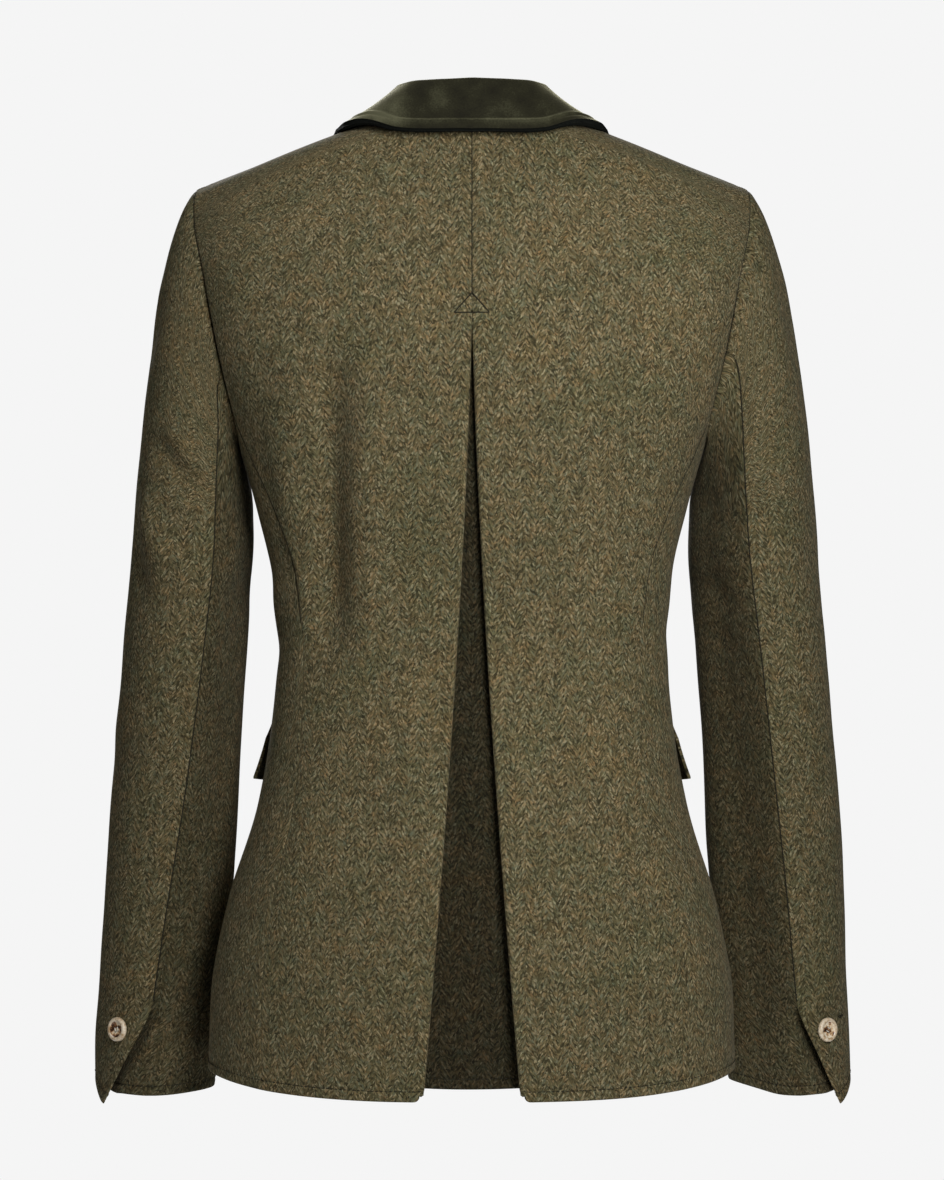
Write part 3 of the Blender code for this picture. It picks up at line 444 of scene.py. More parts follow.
def weave_tweed(name, shade=1.0, low_shade=None):
    """Herringbone tweed on the flat cut: twill legs of short yarn floats, each of its own colour, and soft
    mottling. Shade is painted shade: it darkens the whole colour where the cloth lies in shadow, in the
    pleat and on the sleeves. Low shade is more painted shade, darker the lower the cloth lies below the
    armhole."""
    material = bpy.data.materials.new(name)
    material.use_nodes = True
    tree = material.node_tree
    shader = tree.nodes["Principled BSDF"]
    shader.inputs["Roughness"].default_value = 0.95
    shader.inputs["Specular IOR Level"].default_value = 0.10
    shader.inputs["Sheen Weight"].default_value = 0.05 * shade
    shader.inputs["Sheen Roughness"].default_value = 0.55
    shader.inputs["Sheen Tint"].default_value = (0.75, 0.70, 0.55, 1.0)
    place = on_cut(tree)
    parts = split(tree, place)
    wander = calculate(tree, "SUBTRACT", noise(tree, place, 70.0, 2.0), 0.5)
    wander = calculate(tree, "MULTIPLY", wander, YARN_WANDER)
    across = calculate(tree, "ADD", parts[0], wander)
    up = calculate(tree, "ADD", parts[1], wander)
    leg = calculate(tree, "PINGPONG", across, HERRINGBONE_LEG)
    which = calculate(tree, "FLOOR", calculate(tree, "DIVIDE", across, HERRINGBONE_LEG))
    which = calculate(tree, "MULTIPLY", which, LEG_SHIFT)
    over = calculate(tree, "SUBTRACT", calculate(tree, "MULTIPLY", up, math.cos(TWILL_TURN)),
                     calculate(tree, "MULTIPLY", leg, math.sin(TWILL_TURN)))
    along = calculate(tree, "ADD", calculate(tree, "MULTIPLY", up, math.sin(TWILL_TURN)),
                      calculate(tree, "MULTIPLY", leg, math.cos(TWILL_TURN)))
    twill = calculate(tree, "SINE", calculate(tree, "MULTIPLY", over, 2.0 * math.pi / TWILL_PITCH))
    strand = combine(tree, calculate(tree, "DIVIDE", over, YARN_WIDE),
                     calculate(tree, "DIVIDE", along, YARN_LONG), which)
    floats = tree.nodes.new("ShaderNodeTexVoronoi")
    floats.inputs["Scale"].default_value = 1.0
    tree.links.new(strand, floats.inputs["Vector"])
    chance = split(tree, floats.outputs["Color"])
    colour = ramp(tree, chance[0], YARN_COLOURS)
    fibre = noise(tree, strand, 2.3, 2.0, 0.6)
    rise = calculate(tree, "MULTIPLY", fibre, FIBRE_RISE)
    rise = calculate(tree, "ADD", rise, calculate(tree, "MULTIPLY", twill, TWILL_RISE))
    rise = calculate(tree, "ADD", rise, calculate(tree, "MULTIPLY", chance[1], FLOAT_RISE))
    light = rescale(tree, rise, 0.025, 1.025, WEAVE_DARK * shade, WEAVE_LIGHT * shade)
    dye = ramp(tree, noise(tree, place, 110.0, 3.0, 0.7), DYE_TINTS)
    patches = ramp(tree, noise(tree, place, 16.0, 3.0, 0.6), PATCH_TINTS)
    for tint in (combine(tree, light, light, light), dye, patches):
        colour = blend(tree, "MULTIPLY", 1.0, colour, tint)
    # Painted shade below the armhole: the colour gets darker the lower it lies on the jacket.
    if low_shade:
        fade = rescale(tree, split(tree, in_space(tree))[2], *LOW_PAINTED_SHADE_HEIGHTS, low_shade, 1.0)
        colour = blend(tree, "MULTIPLY", 1.0, colour, combine(tree, fade, fade, fade))
    tree.links.new(colour, shader.inputs["Base Color"])
    dented(tree, shader, rise, 0.35, 0.0006)
    return material


TWEED = weave_tweed("herringbone_tweed")
STITCH_ROW = 9
STITCH_OFF = 0.0001
hem_rows = []
sewn_count = 0


def sew(node, points, flat, stuff=TWEED, slot="tweed", thick=CLOTH, mirrored=False, keep=None, under=None,
        felt_rows=0, stitched=0):
    """One cloth piece that stands for a node: a grid of points seen from outside, columns to the right
    and rows upward, as a wall that thickens inward. Flat is each point's place on the cut. The first
    stitched columns have a row of hem stitching, which is kept for its thread."""
    global sewn_count
    sewn_count += 1
    if stitched:
        row = (points + normals(points) * STITCH_OFF)[STITCH_ROW, :stitched]
        hem_rows.append(row * OTHER_SIDE if mirrored else row)
    if keep is None:
        keep = np.ones(points.shape[:2], bool)
    if mirrored:
        points = points[:, ::-1] * OTHER_SIDE
        flat = flat[:, ::-1] * np.array((-1.0, 1.0))
        keep = keep[:, ::-1]
    rows, columns = points.shape[:2]
    place = flat + PIECE_SHIFT * sewn_count
    work = bmesh.new()
    bmesh.ops.create_grid(work, x_segments=columns - 1, y_segments=rows - 1, size=1.0)
    cut = work.loops.layers.uv.new("cut")
    unused = []
    for vert in work.verts:
        column = round((vert.co.x + 1) / 2 * (columns - 1))
        row = round((vert.co.y + 1) / 2 * (rows - 1))
        vert.co = points[row, column]
        for loop in vert.link_loops:
            loop[cut].uv = place[row, column]
        if row < felt_rows:
            for face in vert.link_faces:
                face.material_index = 1
        if not keep[row, column]:
            unused.append(vert)
    bmesh.ops.delete(work, geom=unused, context="VERTS")
    mesh = bpy.data.meshes.new(slot + "_" + node)
    work.to_mesh(mesh)
    work.free()
    piece = bpy.data.objects.new(slot + "_" + node, mesh)
    bpy.context.scene.collection.objects.link(piece)
    mesh.materials.append(stuff)
    mesh.materials.append(under or stuff)
    wall = piece.modifiers.new("wall", "SOLIDIFY")
    wall.thickness = thick
    wall.offset = -1.0
    wall.material_offset = 1 if under else 0
    wall.material_offset_rim = 1 if under else 0
    whole = bpy.data.meshes.new_from_object(piece.evaluated_get(bpy.context.evaluated_depsgraph_get()))
    piece.modifiers.clear()
    piece.data = whole
    whole.shade_smooth()
    whole.set_sharp_from_angle(angle=SHARP_EDGE)
    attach(piece, "root")
    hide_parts(node)


def pleat_part(height):
    return np.clip((ARROWHEAD_Z - height) / (ARROWHEAD_Z - ring("z_back", 0.0)), 0.0, 1.0)


def pleat_half(height):
    return np.maximum(PLEAT_HALF_AT_HEM * pleat_part(height) ** PLEAT_SPREAD, SEAM / 2)


def pleat_return(height):
    return PLEAT_RETURN_TOP + (PLEAT_RETURN_HEM - PLEAT_RETURN_TOP) * pleat_part(height) ** 0.8


def back_inner(level):
    """Distance out of the back panel's inner edge: pleat, centre seam, then the neckline."""
    part = np.clip((level - NAPE_LEVEL) / (1.0 - NAPE_LEVEL), 0.0, 1.0)
    neck = NECK_HALF * (1.0 - (1.0 - part) ** NECK_ROUND) ** (1.0 / NECK_ROUND)
    return np.maximum(pleat_half(ring("z_back", level)), neck)


def back_panel(levels, parts, creases, side, seed):
    """Points of a left back panel, outer edge first, their places on the cut, and the points in use."""
    level = levels[:, None]
    turned = level < ARROWHEAD_LEVEL + 1e-6
    turn = PLEAT_TURN * np.where(turned, 0.25 + 0.75 * ease((ARROWHEAD_LEVEL - level) / 0.06), 0.0)
    inner = back_inner(level) + turn
    outer_angle = panel_side_angle(level, False) - degrees_of(SEAM / 2, level)
    angle = outer_angle + (angle_of(inner, level) - outer_angle) * parts[None, :]
    panel = torso_at(angle, level + 0.0 * angle)
    behind = np.maximum(panel[..., 1], SHOULDER_HALF)
    panel[..., 1] = np.where(level > SIDE_BACK_TOP, behind, panel[..., 1])
    flat = lay_flat(panel, -1 + panel.shape[1], -inner)
    panel = press(panel, flat * np.array((side, 1.0)), creases)
    panel = slacken(panel, flat, 0.00022, seed)
    panel = round_edges(panel, flat, left=False, right=~turned)
    deep = ease((level - SIDE_BACK_TOP + 0.02) / 0.02) * ease((ARMHOLE_SINK_END - level) / 0.10)
    panel = round_edges(panel, flat, right=False, low=False, high=False,
                        depth=EDGE_SINK + (ARMHOLE_SINK - EDGE_SINK) * deep,
                        reach=EDGE_ROUND + ARMHOLE_WIDER * deep)
    panel = drop_tip(stitch_groove(panel, flat[..., 1]), flat, 0)
    edge = panel[:, -1:]
    columns = [panel]
    for bend in TURN_ANGLES:
        shift = turn * np.array((-np.sin(bend), np.cos(bend) - 1.0, 0.0))
        columns.append(edge + shift[:, None, :])
    inward = np.array((-np.cos(TURN_ANGLES[-1]), -np.sin(TURN_ANGLES[-1]), 0.0))
    away = pleat_return(ring("z_back", level)) * inward
    for part in (0.3, 0.65, 1.0):
        columns.append(columns[len(TURN_ANGLES)] + part * away[:, None, :])
    points = np.concatenate(columns, axis=1)
    flat = lay_flat(points, panel.shape[1] - 1, -inner)
    corner = np.clip(1.0 - (-inner - flat[..., 0]) / HEM_CORNER, 0.0, 1.0)
    corner = np.where(flat[..., 0] > -inner, 1.0, corner)
    rise = HEM_CORNER * (1.0 - np.sqrt(1.0 - corner ** 2)) * (1.0 - ease(flat[..., 1] / 0.012))
    points[..., 2] += rise
    keep = np.ones(points.shape[:2], bool)
    keep[:, panel.shape[1]:] = turned
    return points, flat, keep


def seam_ditch(points):
    """Line of the armhole and side back seams on a back panel, just inside its outer edge. Its dark thread
    also stands in for the shade in the seam's ditch, as painted shade.
    """
    return (points + normals(points) * SEAM_THREAD_OFF)[back_levels > SEAM_SHOWN_LEVEL, SEAM_COLUMN]


back_levels = np.concatenate([
    HEM_STEPS / LENGTH_PER_LEVEL, np.linspace(0.026, ARROWHEAD_LEVEL, 152),
    np.linspace(ARROWHEAD_LEVEL, NAPE_LEVEL, 36)[1:], np.linspace(NAPE_LEVEL, 0.985, 20)[1:],
    (0.9875, 0.9900, 0.9922, 0.9944, 0.9960, 0.9972, 0.9982, 0.9990, SHOULDER_LEVEL)])
back_shares = shares(0.170)
points, flat, keep = back_panel(back_levels, back_shares, BACK_LEFT_CREASES, 1.0, 11)
sew("back_left", points, flat, keep=keep, stitched=len(back_shares))
seam_rows = [seam_ditch(points)]
closed_rows = [points[-1]]
points, flat, keep = back_panel(back_levels, back_shares, BACK_RIGHT_CREASES, -1.0, 12)
sew("back_right", points, flat, keep=keep, mirrored=True, stitched=len(back_shares))
seam_rows.append(seam_ditch(points) * OTHER_SIDE)
closed_rows.append(points[-1] * OTHER_SIDE)

# Pleat underlay
# A strip of the same tweed sewn behind both returns, which fills the open pleat and ends a little above the
# hem with its own row of stitching. Its tweed is coloured darker as painted shade, for the shadow deep in
# the pleat.

UNDERLAY_HEM_Z = -0.6625
UNDERLAY_CLEAR = 0.0012
UNDERLAY_MARGIN = 0.0045
UNDERLAY_ABOVE = 0.006
UNDERLAY_ARCH = 0.0012
# Painted shade: the underlay's tweed is coloured darker for the shadow deep in the open pleat.
PLEAT_PAINTED_SHADE = 0.26


def back_level(height):
    """Level of the torso at a height on the centre back."""
    table = np.linspace(0.0, 0.93, 600)
    return np.interp(height, ring("z_back", table), table)


def underlay(rows, columns):
    above = np.linspace(UNDERLAY_HEM_Z + 0.018, ARROWHEAD_Z + UNDERLAY_ABOVE, rows)
    height = np.concatenate([UNDERLAY_HEM_Z + HEM_STEPS, above])[:, None]
    half = pleat_half(height) + 0.5 * pleat_return(height) + UNDERLAY_MARGIN
    part = np.linspace(1.0, -1.0, columns)[None, :]
    out = half * part
    level = back_level(height) + 0.0 * out
    points = torso_at(angle_of(out, level), level)
    points[..., 1] -= PLEAT_TURN * 1.5 + np.sin(TURN_ANGLES[-1]) * pleat_return(height) + UNDERLAY_CLEAR
    low = 1.0 - ease((height - UNDERLAY_HEM_Z) / 0.05)
    points[..., 2] = height - UNDERLAY_ARCH * (1.0 - part ** 2) * low
    flat = lay_flat(points, columns // 2)
    points = slacken(points, flat, 0.0002, 21)
    points = stitch_groove(points, flat[..., 1])
    return round_edges(points, flat, left=False, right=False, high=False), flat


points, flat = underlay(130, 25)
sew("pleat_underlay", points, flat, stuff=weave_tweed("pleat_tweed_painted_shade", PLEAT_PAINTED_SHADE), under=TWEED,
    stitched=points.shape[1])

# Arrowhead tack
# A triangle of dark buttonhole twist, worked by hand over the head of the pleat so that it can't tear,
# and a close line of the same thread in the ditch of the centre back seam.

TACK_APEX_Z = -0.1265
TACK_HALF = 0.0118
TACK_OFF = 0.0003
TACK_PITCH = 0.0011
TACK_LONG = 0.0019
TACK_THICK = 0.00050
TACK_CORNERS = ((-TACK_HALF, ARROWHEAD_Z), (0.0, TACK_APEX_Z), (TACK_HALF, ARROWHEAD_Z))
CENTRE_SEAM_TOP_Z = -0.004
CENTRE_SEAM_DEEP = np.array((0.0, 0.0012, 0.0))
CENTRE_SEAM_PITCH = 0.0016
CENTRE_SEAM_LONG = 0.0022
THREAD_THICK = 0.00042


def spin_thread(name):
    """Waxed dark olive sewing thread."""
    material = bpy.data.materials.new(name)
    material.use_nodes = True
    tree = material.node_tree
    shader = tree.nodes["Principled BSDF"]
    shader.inputs["Roughness"].default_value = 0.7
    shader.inputs["Specular IOR Level"].default_value = 0.2
    colour = ramp(tree, noise(tree, in_space(tree), 1400.0, 1.0), (
        (0.35, (0.008, 0.007, 0.004)),
        (0.65, (0.026, 0.023, 0.012)),
    ))
    tree.links.new(colour, shader.inputs["Base Color"])
    return material


THREAD = spin_thread("olive_thread")


def along_path(path, pitch):
    """Points at even steps along a path, and its direction there."""
    length = np.concatenate([[0.0], np.cumsum(np.linalg.norm(np.diff(path, axis=0), axis=1))])
    at = np.arange(0.5 * pitch, length[-1], pitch)
    point = np.stack([np.interp(at, length, path[:, axis]) for axis in range(3)], axis=-1)
    ahead = np.stack([np.interp(at + 0.0004, length, path[:, axis]) for axis in range(3)], axis=-1)
    behind = np.stack([np.interp(at - 0.0004, length, path[:, axis]) for axis in range(3)], axis=-1)
    return point, unit(ahead - behind)


def stitch(work, path, pitch, long, thick=THREAD_THICK):
    """Add a row of stitches along a path, each a small spindle of thread."""
    for point, way in zip(*along_path(np.asarray(path), pitch)):
        turn = Vector(way).to_track_quat("X", "Z").to_matrix().to_4x4()
        size = Matrix.Diagonal((0.5 * long, thick, thick, 1.0))
        bmesh.ops.create_icosphere(work, subdivisions=1, radius=1.0,
                                   matrix=Matrix.Translation(point) @ turn @ size)


def thread_piece(name, work):
    mesh = bpy.data.meshes.new(name)
    work.to_mesh(mesh)
    work.free()
    mesh.shade_smooth()
    mesh.materials.append(THREAD)
    piece = bpy.data.objects.new(name, mesh)
    bpy.context.scene.collection.objects.link(piece)
    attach(piece, "root")


def on_back(out, height):
    """Points a little off the back at a distance out and a height at the centre back."""
    level = back_level(np.asarray(height))
    point = torso_at(angle_of(np.asarray(out), level), level)
    point[..., 1] += TACK_OFF
    point[..., 2] = height
    return point


work = bmesh.new()
for start, end in zip(TACK_CORNERS, TACK_CORNERS[1:] + TACK_CORNERS[:1]):
    share = np.linspace(0.0, 1.0, 12)
    out = start[0] + (end[0] - start[0]) * share
    height = start[1] + (end[1] - start[1]) * share
    stitch(work, on_back(out, height), TACK_PITCH, TACK_LONG, TACK_THICK)
thread_piece("arrowhead_tack", work)
work = bmesh.new()
seam_height = np.linspace(TACK_APEX_Z, CENTRE_SEAM_TOP_Z, 60)
centre_seam = on_back(0.0 * seam_height, seam_height) - CENTRE_SEAM_DEEP
stitch(work, centre_seam, CENTRE_SEAM_PITCH, CENTRE_SEAM_LONG)
thread_piece("centre_seam_thread", work)

# Side panels
# Narrow tweed panels between the side back seam and the side front seam, their tops on the armhole.
# Each long edge runs on a little under its neighbour, as a pressed seam does.

SIDE_SEAM_UNDER = 0.0012
SIDE_LEFT_CREASES = (
    ("from_across", "from_up", "to_across", "to_up", "bow", "width", "rise"),
    (-0.050, 0.270, 0.055, 0.320, 0.004, 0.012, -0.0014),
    (-0.045, 0.310, 0.050, 0.350, 0.003, 0.010, 0.0008),
    (-0.020, 0.060, -0.004, 0.240, 0.004, 0.014, -0.0010),
)
SIDE_RIGHT_CREASES = (
    ("from_across", "from_up", "to_across", "to_up", "bow", "width", "rise"),
    (0.050, 0.285, -0.050, 0.330, -0.004, 0.012, -0.0012),
    (0.010, 0.050, 0.022, 0.220, -0.004, 0.014, -0.0010),
)


def side_panel(runs, parts, creases, side, seed):
    run = runs[:, None]
    part = parts[None, :]
    back_top = panel_side_angle(SIDE_BACK_TOP - 1e-6, False)
    front_top = panel_side_angle(SIDE_FRONT_TOP - 1e-6, True)
    top_angle = front_top + (back_top - front_top) * part
    level = np.linspace(UNDERARM_LEVEL, SIDE_BACK_TOP, 300)
    behind = np.interp(-top_angle, -armhole_angle(level, False), level)
    before = np.interp(top_angle, armhole_angle(level, True), level)
    top = np.where(top_angle <= 90.0, behind, before)
    front_level = run * SIDE_FRONT_TOP
    rear_level = run * SIDE_BACK_TOP
    front_angle = panel_side_angle(front_level - 1e-6, True) + degrees_of(SIDE_SEAM_UNDER, front_level)
    back_angle = panel_side_angle(rear_level - 1e-6, False) - degrees_of(SIDE_SEAM_UNDER, rear_level)
    points = torso_at(front_angle + (back_angle - front_angle) * part, run * top)
    flat = lay_flat(points, points.shape[1] // 2)
    points = press(points, flat * np.array((side, 1.0)), creases)
    points = slacken(points, flat, 0.0002, seed)
    points = stitch_groove(points, flat[..., 1])
    points = round_edges(points, flat, high=False)
    return round_edges(points, flat, left=False, right=False, low=False, depth=ARMHOLE_SINK), flat


side_runs = np.concatenate([HEM_STEPS / (LENGTH_PER_LEVEL * 0.68), np.linspace(0.038, 0.985, 120),
                            (0.9885, 0.9915, 0.9945, 0.997, 0.999, 1.0)])
points, flat = side_panel(side_runs, shares(0.150), SIDE_LEFT_CREASES, 1.0, 31)
sew("side_left", points, flat, stitched=points.shape[1])
points, flat = side_panel(side_runs, shares(0.150), SIDE_RIGHT_CREASES, -1.0, 32)
sew("side_right", points, flat, mirrored=True, stitched=points.shape[1])

# Fronts
# Tweed panels that close right over left, each with a rounded lower corner and a straight front edge
# up to where the lapel rolls back.

LAP = 0.0006
FRONT_OVERLAP = 0.020
BREAK_LEVEL = 0.470
CORNER_LEVEL = 0.100
CORNER_CUT = 0.050
GORGE_LEVEL = 0.878
ROLL_TOP_OUT = 0.059
ROLL_TOP_LEVEL = 0.95
FRONT_LAP = CLOTH + 2 * LAP
LAP_END_LEVEL = 0.80
LAP_FADE_LEVELS = 0.14
LAP_FADE_OUT = 0.085
LAP_FADE_WIDTH = 0.060
FRONT_CREASES = (
    ("from_across", "from_up", "to_across", "to_up", "bow", "width", "rise"),
    (0.030, 0.270, 0.120, 0.300, 0.005, 0.013, -0.0016),
    (0.035, 0.300, 0.130, 0.345, 0.005, 0.012, 0.0010),
    (0.090, 0.090, 0.100, 0.220, 0.004, 0.016, -0.0012),
    (0.110, 0.440, 0.130, 0.540, 0.005, 0.014, -0.0012),
)


def front_inner(level):
    """Distance past the middle of a front's inner edge: rounded corner, straight edge, roll line."""
    corner = np.clip((CORNER_LEVEL - level) / CORNER_LEVEL, 0.0, 1.0)
    cut = CORNER_CUT * (1.0 - np.sqrt(1.0 - corner ** 2))
    height = ring("z_front", level)
    low = ring("z_front", BREAK_LEVEL)
    high = ring("z_front", ROLL_TOP_LEVEL)
    part = np.clip((height - low) / (high - low), 0.0, 1.0)
    roll = FRONT_OVERLAP - (ROLL_TOP_OUT + FRONT_OVERLAP) * part
    neck_part = np.clip((level - ROLL_TOP_LEVEL) / (1.0 - ROLL_TOP_LEVEL), 0.0, 1.0)
    neck = -ROLL_TOP_OUT + (ROLL_TOP_OUT - NECK_HALF) * neck_part
    return np.where(level < BREAK_LEVEL, FRONT_OVERLAP - cut, np.where(level < ROLL_TOP_LEVEL, roll, neck))


def lap_lift(out, level, lap):
    """How far the upper front is carried out over the lower one near the middle."""
    near = ease((LAP_FADE_OUT - out) / LAP_FADE_WIDTH)
    return lap * near * ease((LAP_END_LEVEL - level) / LAP_FADE_LEVELS)


def torso_normal(angle, level):
    angle, level = np.broadcast_arrays(np.asarray(angle, float), np.clip(level, 0.002, 0.997))
    around = torso_at(angle - 0.5, level) - torso_at(angle + 0.5, level)
    upward = torso_at(angle, level + 0.002) - torso_at(angle, level - 0.002)
    return unit(np.cross(around, upward))


def front_panel(levels, parts, lap, seed):
    level = levels[:, None]
    inner_angle = angle_of(-front_inner(level), level, front=True)
    outer_angle = panel_side_angle(level, True) + degrees_of(SEAM / 2, level)
    angle = inner_angle + (outer_angle - inner_angle) * parts[None, :]
    points = torso_at(angle, level + 0.0 * angle)
    lift = lap_lift(points[..., 0], level, lap)
    points = points + torso_normal(angle, level + 0.0 * angle) * lift[..., None]
    before = np.minimum(points[..., 1], -SHOULDER_HALF)
    points[..., 1] = np.where(level > SIDE_FRONT_TOP, before, points[..., 1])
    flat = lay_flat(points, 0, -front_inner(level))
    points = press(points, flat, FRONT_CREASES)
    points = slacken(points, flat, 0.00022, seed)
    points = stitch_groove(points, flat[..., 1])
    return drop_tip(round_edges(points, flat), flat, -1), flat


front_levels = np.concatenate([
    HEM_STEPS / LENGTH_PER_LEVEL, np.linspace(0.026, 0.90, 170), np.linspace(0.90, 0.985, 26)[1:],
    (0.9875, 0.9900, 0.9922, 0.9944, 0.9960, 0.9972, 0.9982, 0.9990, SHOULDER_LEVEL)])
front_shares = shares(0.190)
points, flat = front_panel(front_levels, front_shares, 0.0, 41)
sew("front_left", points, flat, stitched=points.shape[1])
right_front, flat = front_panel(front_levels, front_shares, FRONT_LAP, 42)
sew("front_right", right_front, flat, mirrored=True, stitched=points.shape[1])

# Lapels
# The turned back facing of each front, in the same tweed. It rolls over at the front edge, lies on the
# front out to a pointed tip below the collar, and its outer edge stands off a little.

LEFT_BREAK_LEVEL = 0.615
LAPEL_START = 0.012
LAPEL_TIP_OUT = 0.126
LAPEL_TIP_LEVEL = 0.842
LAPEL_BELLY = 0.010
LAPEL_ROLL = 0.0030
LAPEL_EDGE_LIFT = 0.0022
LAPEL_FREE_RUN = 0.3
THIN_EDGE_SINK = 0.0007


def lapel(rows, lap, break_level, seed):
    run = np.linspace(0.0, 1.0, rows)[:, None]
    part = shares(0.070, 0.0022)[None, :]
    roll_level = break_level + (GORGE_LEVEL - break_level) * run
    roll_out = -front_inner(roll_level)
    edge_level = break_level + (LAPEL_TIP_LEVEL - break_level) * run
    edge_start = -front_inner(break_level) + LAPEL_START
    edge_out = edge_start + (LAPEL_TIP_OUT - edge_start) * run + LAPEL_BELLY * np.sin(math.pi * run)
    out = roll_out + (edge_out - roll_out) * part
    level = roll_level + (edge_level - roll_level) * part
    angle = angle_of(out, level, front=True)
    roll = LAPEL_ROLL * np.sin(math.pi * part ** 0.6) * ease(run / LAPEL_FREE_RUN)
    raised = LAPEL_EDGE_LIFT * ease((part - 0.5) / 0.5) * ease(run / LAPEL_FREE_RUN)
    lift = lap_lift(out, level, lap) + CLOTH + LAP + roll + raised
    points = torso_at(angle, level) + torso_normal(angle, level) * lift[..., None]
    flat = lay_flat(points, 0)
    points = slacken(points, flat, 0.00012, seed)
    return round_edges(points, flat, depth=THIN_EDGE_SINK), flat


points, flat = lapel(110, 0.0, LEFT_BREAK_LEVEL, 51)
sew("lapel_left", points, flat)
points, flat = lapel(130, FRONT_LAP, BREAK_LEVEL + 0.005, 52)
sew("lapel_right", points, flat, mirrored=True)

# Collar
# Dark olive cotton velvet over a nearly black felt under collar, which shows as a dark band below the
# velvet's edge; the band also stands in for the shade under the lifted collar, as painted shade.
# The stand rises from the neck seam, rolls over and falls to an edge with one row of topstitching.

VELVET = 0.0020
FRONT_SEAM_END = 0.888
COLLAR_ROLL = 0.0034
FALL_BELLY = 0.0012
FALL_HOLLOW = 0.0036
HOLLOW_WAY = 0.95
HOLLOW_WIDTH = 0.35
ROLL_ANGLES = np.radians((0.0, 18.0, 36.0, 54.0, 72.0, 90.0, 108.0, 126.0, 145.0))
FELT_DROP_MIDDLE = 0.0005
FELT_DROP_ENDS = 0.0040
FELT_STEP_IN = 0.0024
COLLAR_STITCH = 0.0072
RIDGE_HIGH = 0.0007
RIDGE_WIDE = 0.0011
GROOVE_DEEP = 0.0006
GROOVE_WIDE = 0.0010
GROOVE_BELOW = 0.0022
COLLAR_ROWS = (
    ("way", "rise", "lean", "edge_out", "edge_over", "lift"),
    (0.00, 0.0260, 0.000, 0.000, 0.915, 0.0120),
    (0.16, 0.02592, 0.0015, 0.023, 0.9165, 0.0120),
    (0.36, 0.0250, 0.006, 0.050, 0.922, 0.0120),
    (0.70, 0.0216, 0.013, 0.082, 0.962, 0.0070),
    (1.00, 0.0186, 0.015, 0.0935, 1.000, 0.0036),
    (1.40, 0.0160, 0.006, 0.1015, 1.045, 0.0050),
    (2.00, 0.0090, 0.000, 0.101, 1.100, 0.0046),
)


def torso(out, over):
    """Point of the torso at a distance out; over is the level, which counts on past 1 down the front."""
    out, over = np.broadcast_arrays(np.asarray(out, float), np.asarray(over, float))
    behind = over <= 1.0
    level = np.where(behind, over, 2.0 - over)
    half = ring("half", level)
    square = ring("square", level)
    depth = np.where(behind, ring("back", level), -ring("front", level))
    share = np.clip(np.abs(out) / half, 0.0, 1.0)
    deep = depth * np.clip(1.0 - share ** square, 0.0, 1.0) ** (1.0 / square)
    middle = np.where(behind, ring("z_back", level), ring("z_front", level))
    height = middle + (ring("z_side", level) - middle) * share ** ring("tilt", level)
    return np.stack([out, deep, height], axis=-1)


def torso_lifted(out, over, lift):
    along = torso(out - 0.004, over) - torso(out + 0.004, over)
    across = torso(out, over + 0.006) - torso(out, over - 0.006)
    outward = unit(np.cross(along, across))
    outward = np.where(outward[..., 2:3] < 0, -outward, outward)
    return torso(out, over) + outward * lift[..., None]


def neck_seam(way):
    """Point of the neckline: way 0 at the nape, 1 at the neck point, 2 at the collar's front end."""
    turn = np.radians(90.0 * np.clip(way, 0.0, 1.0))
    back_out = NECK_HALF * np.sin(turn) ** (2.0 / NECK_ROUND)
    back_over = 1.0 - (1.0 - NAPE_LEVEL) * np.maximum(np.cos(turn), 0.0) ** (2.0 / NECK_ROUND)
    front_level = 1.0 - (1.0 - FRONT_SEAM_END) * np.clip(way - 1.0, 0.0, 1.0)
    out = np.where(way <= 1.0, back_out, -front_inner(front_level))
    return torso(out, np.where(way <= 1.0, back_over, 2.0 - front_level))


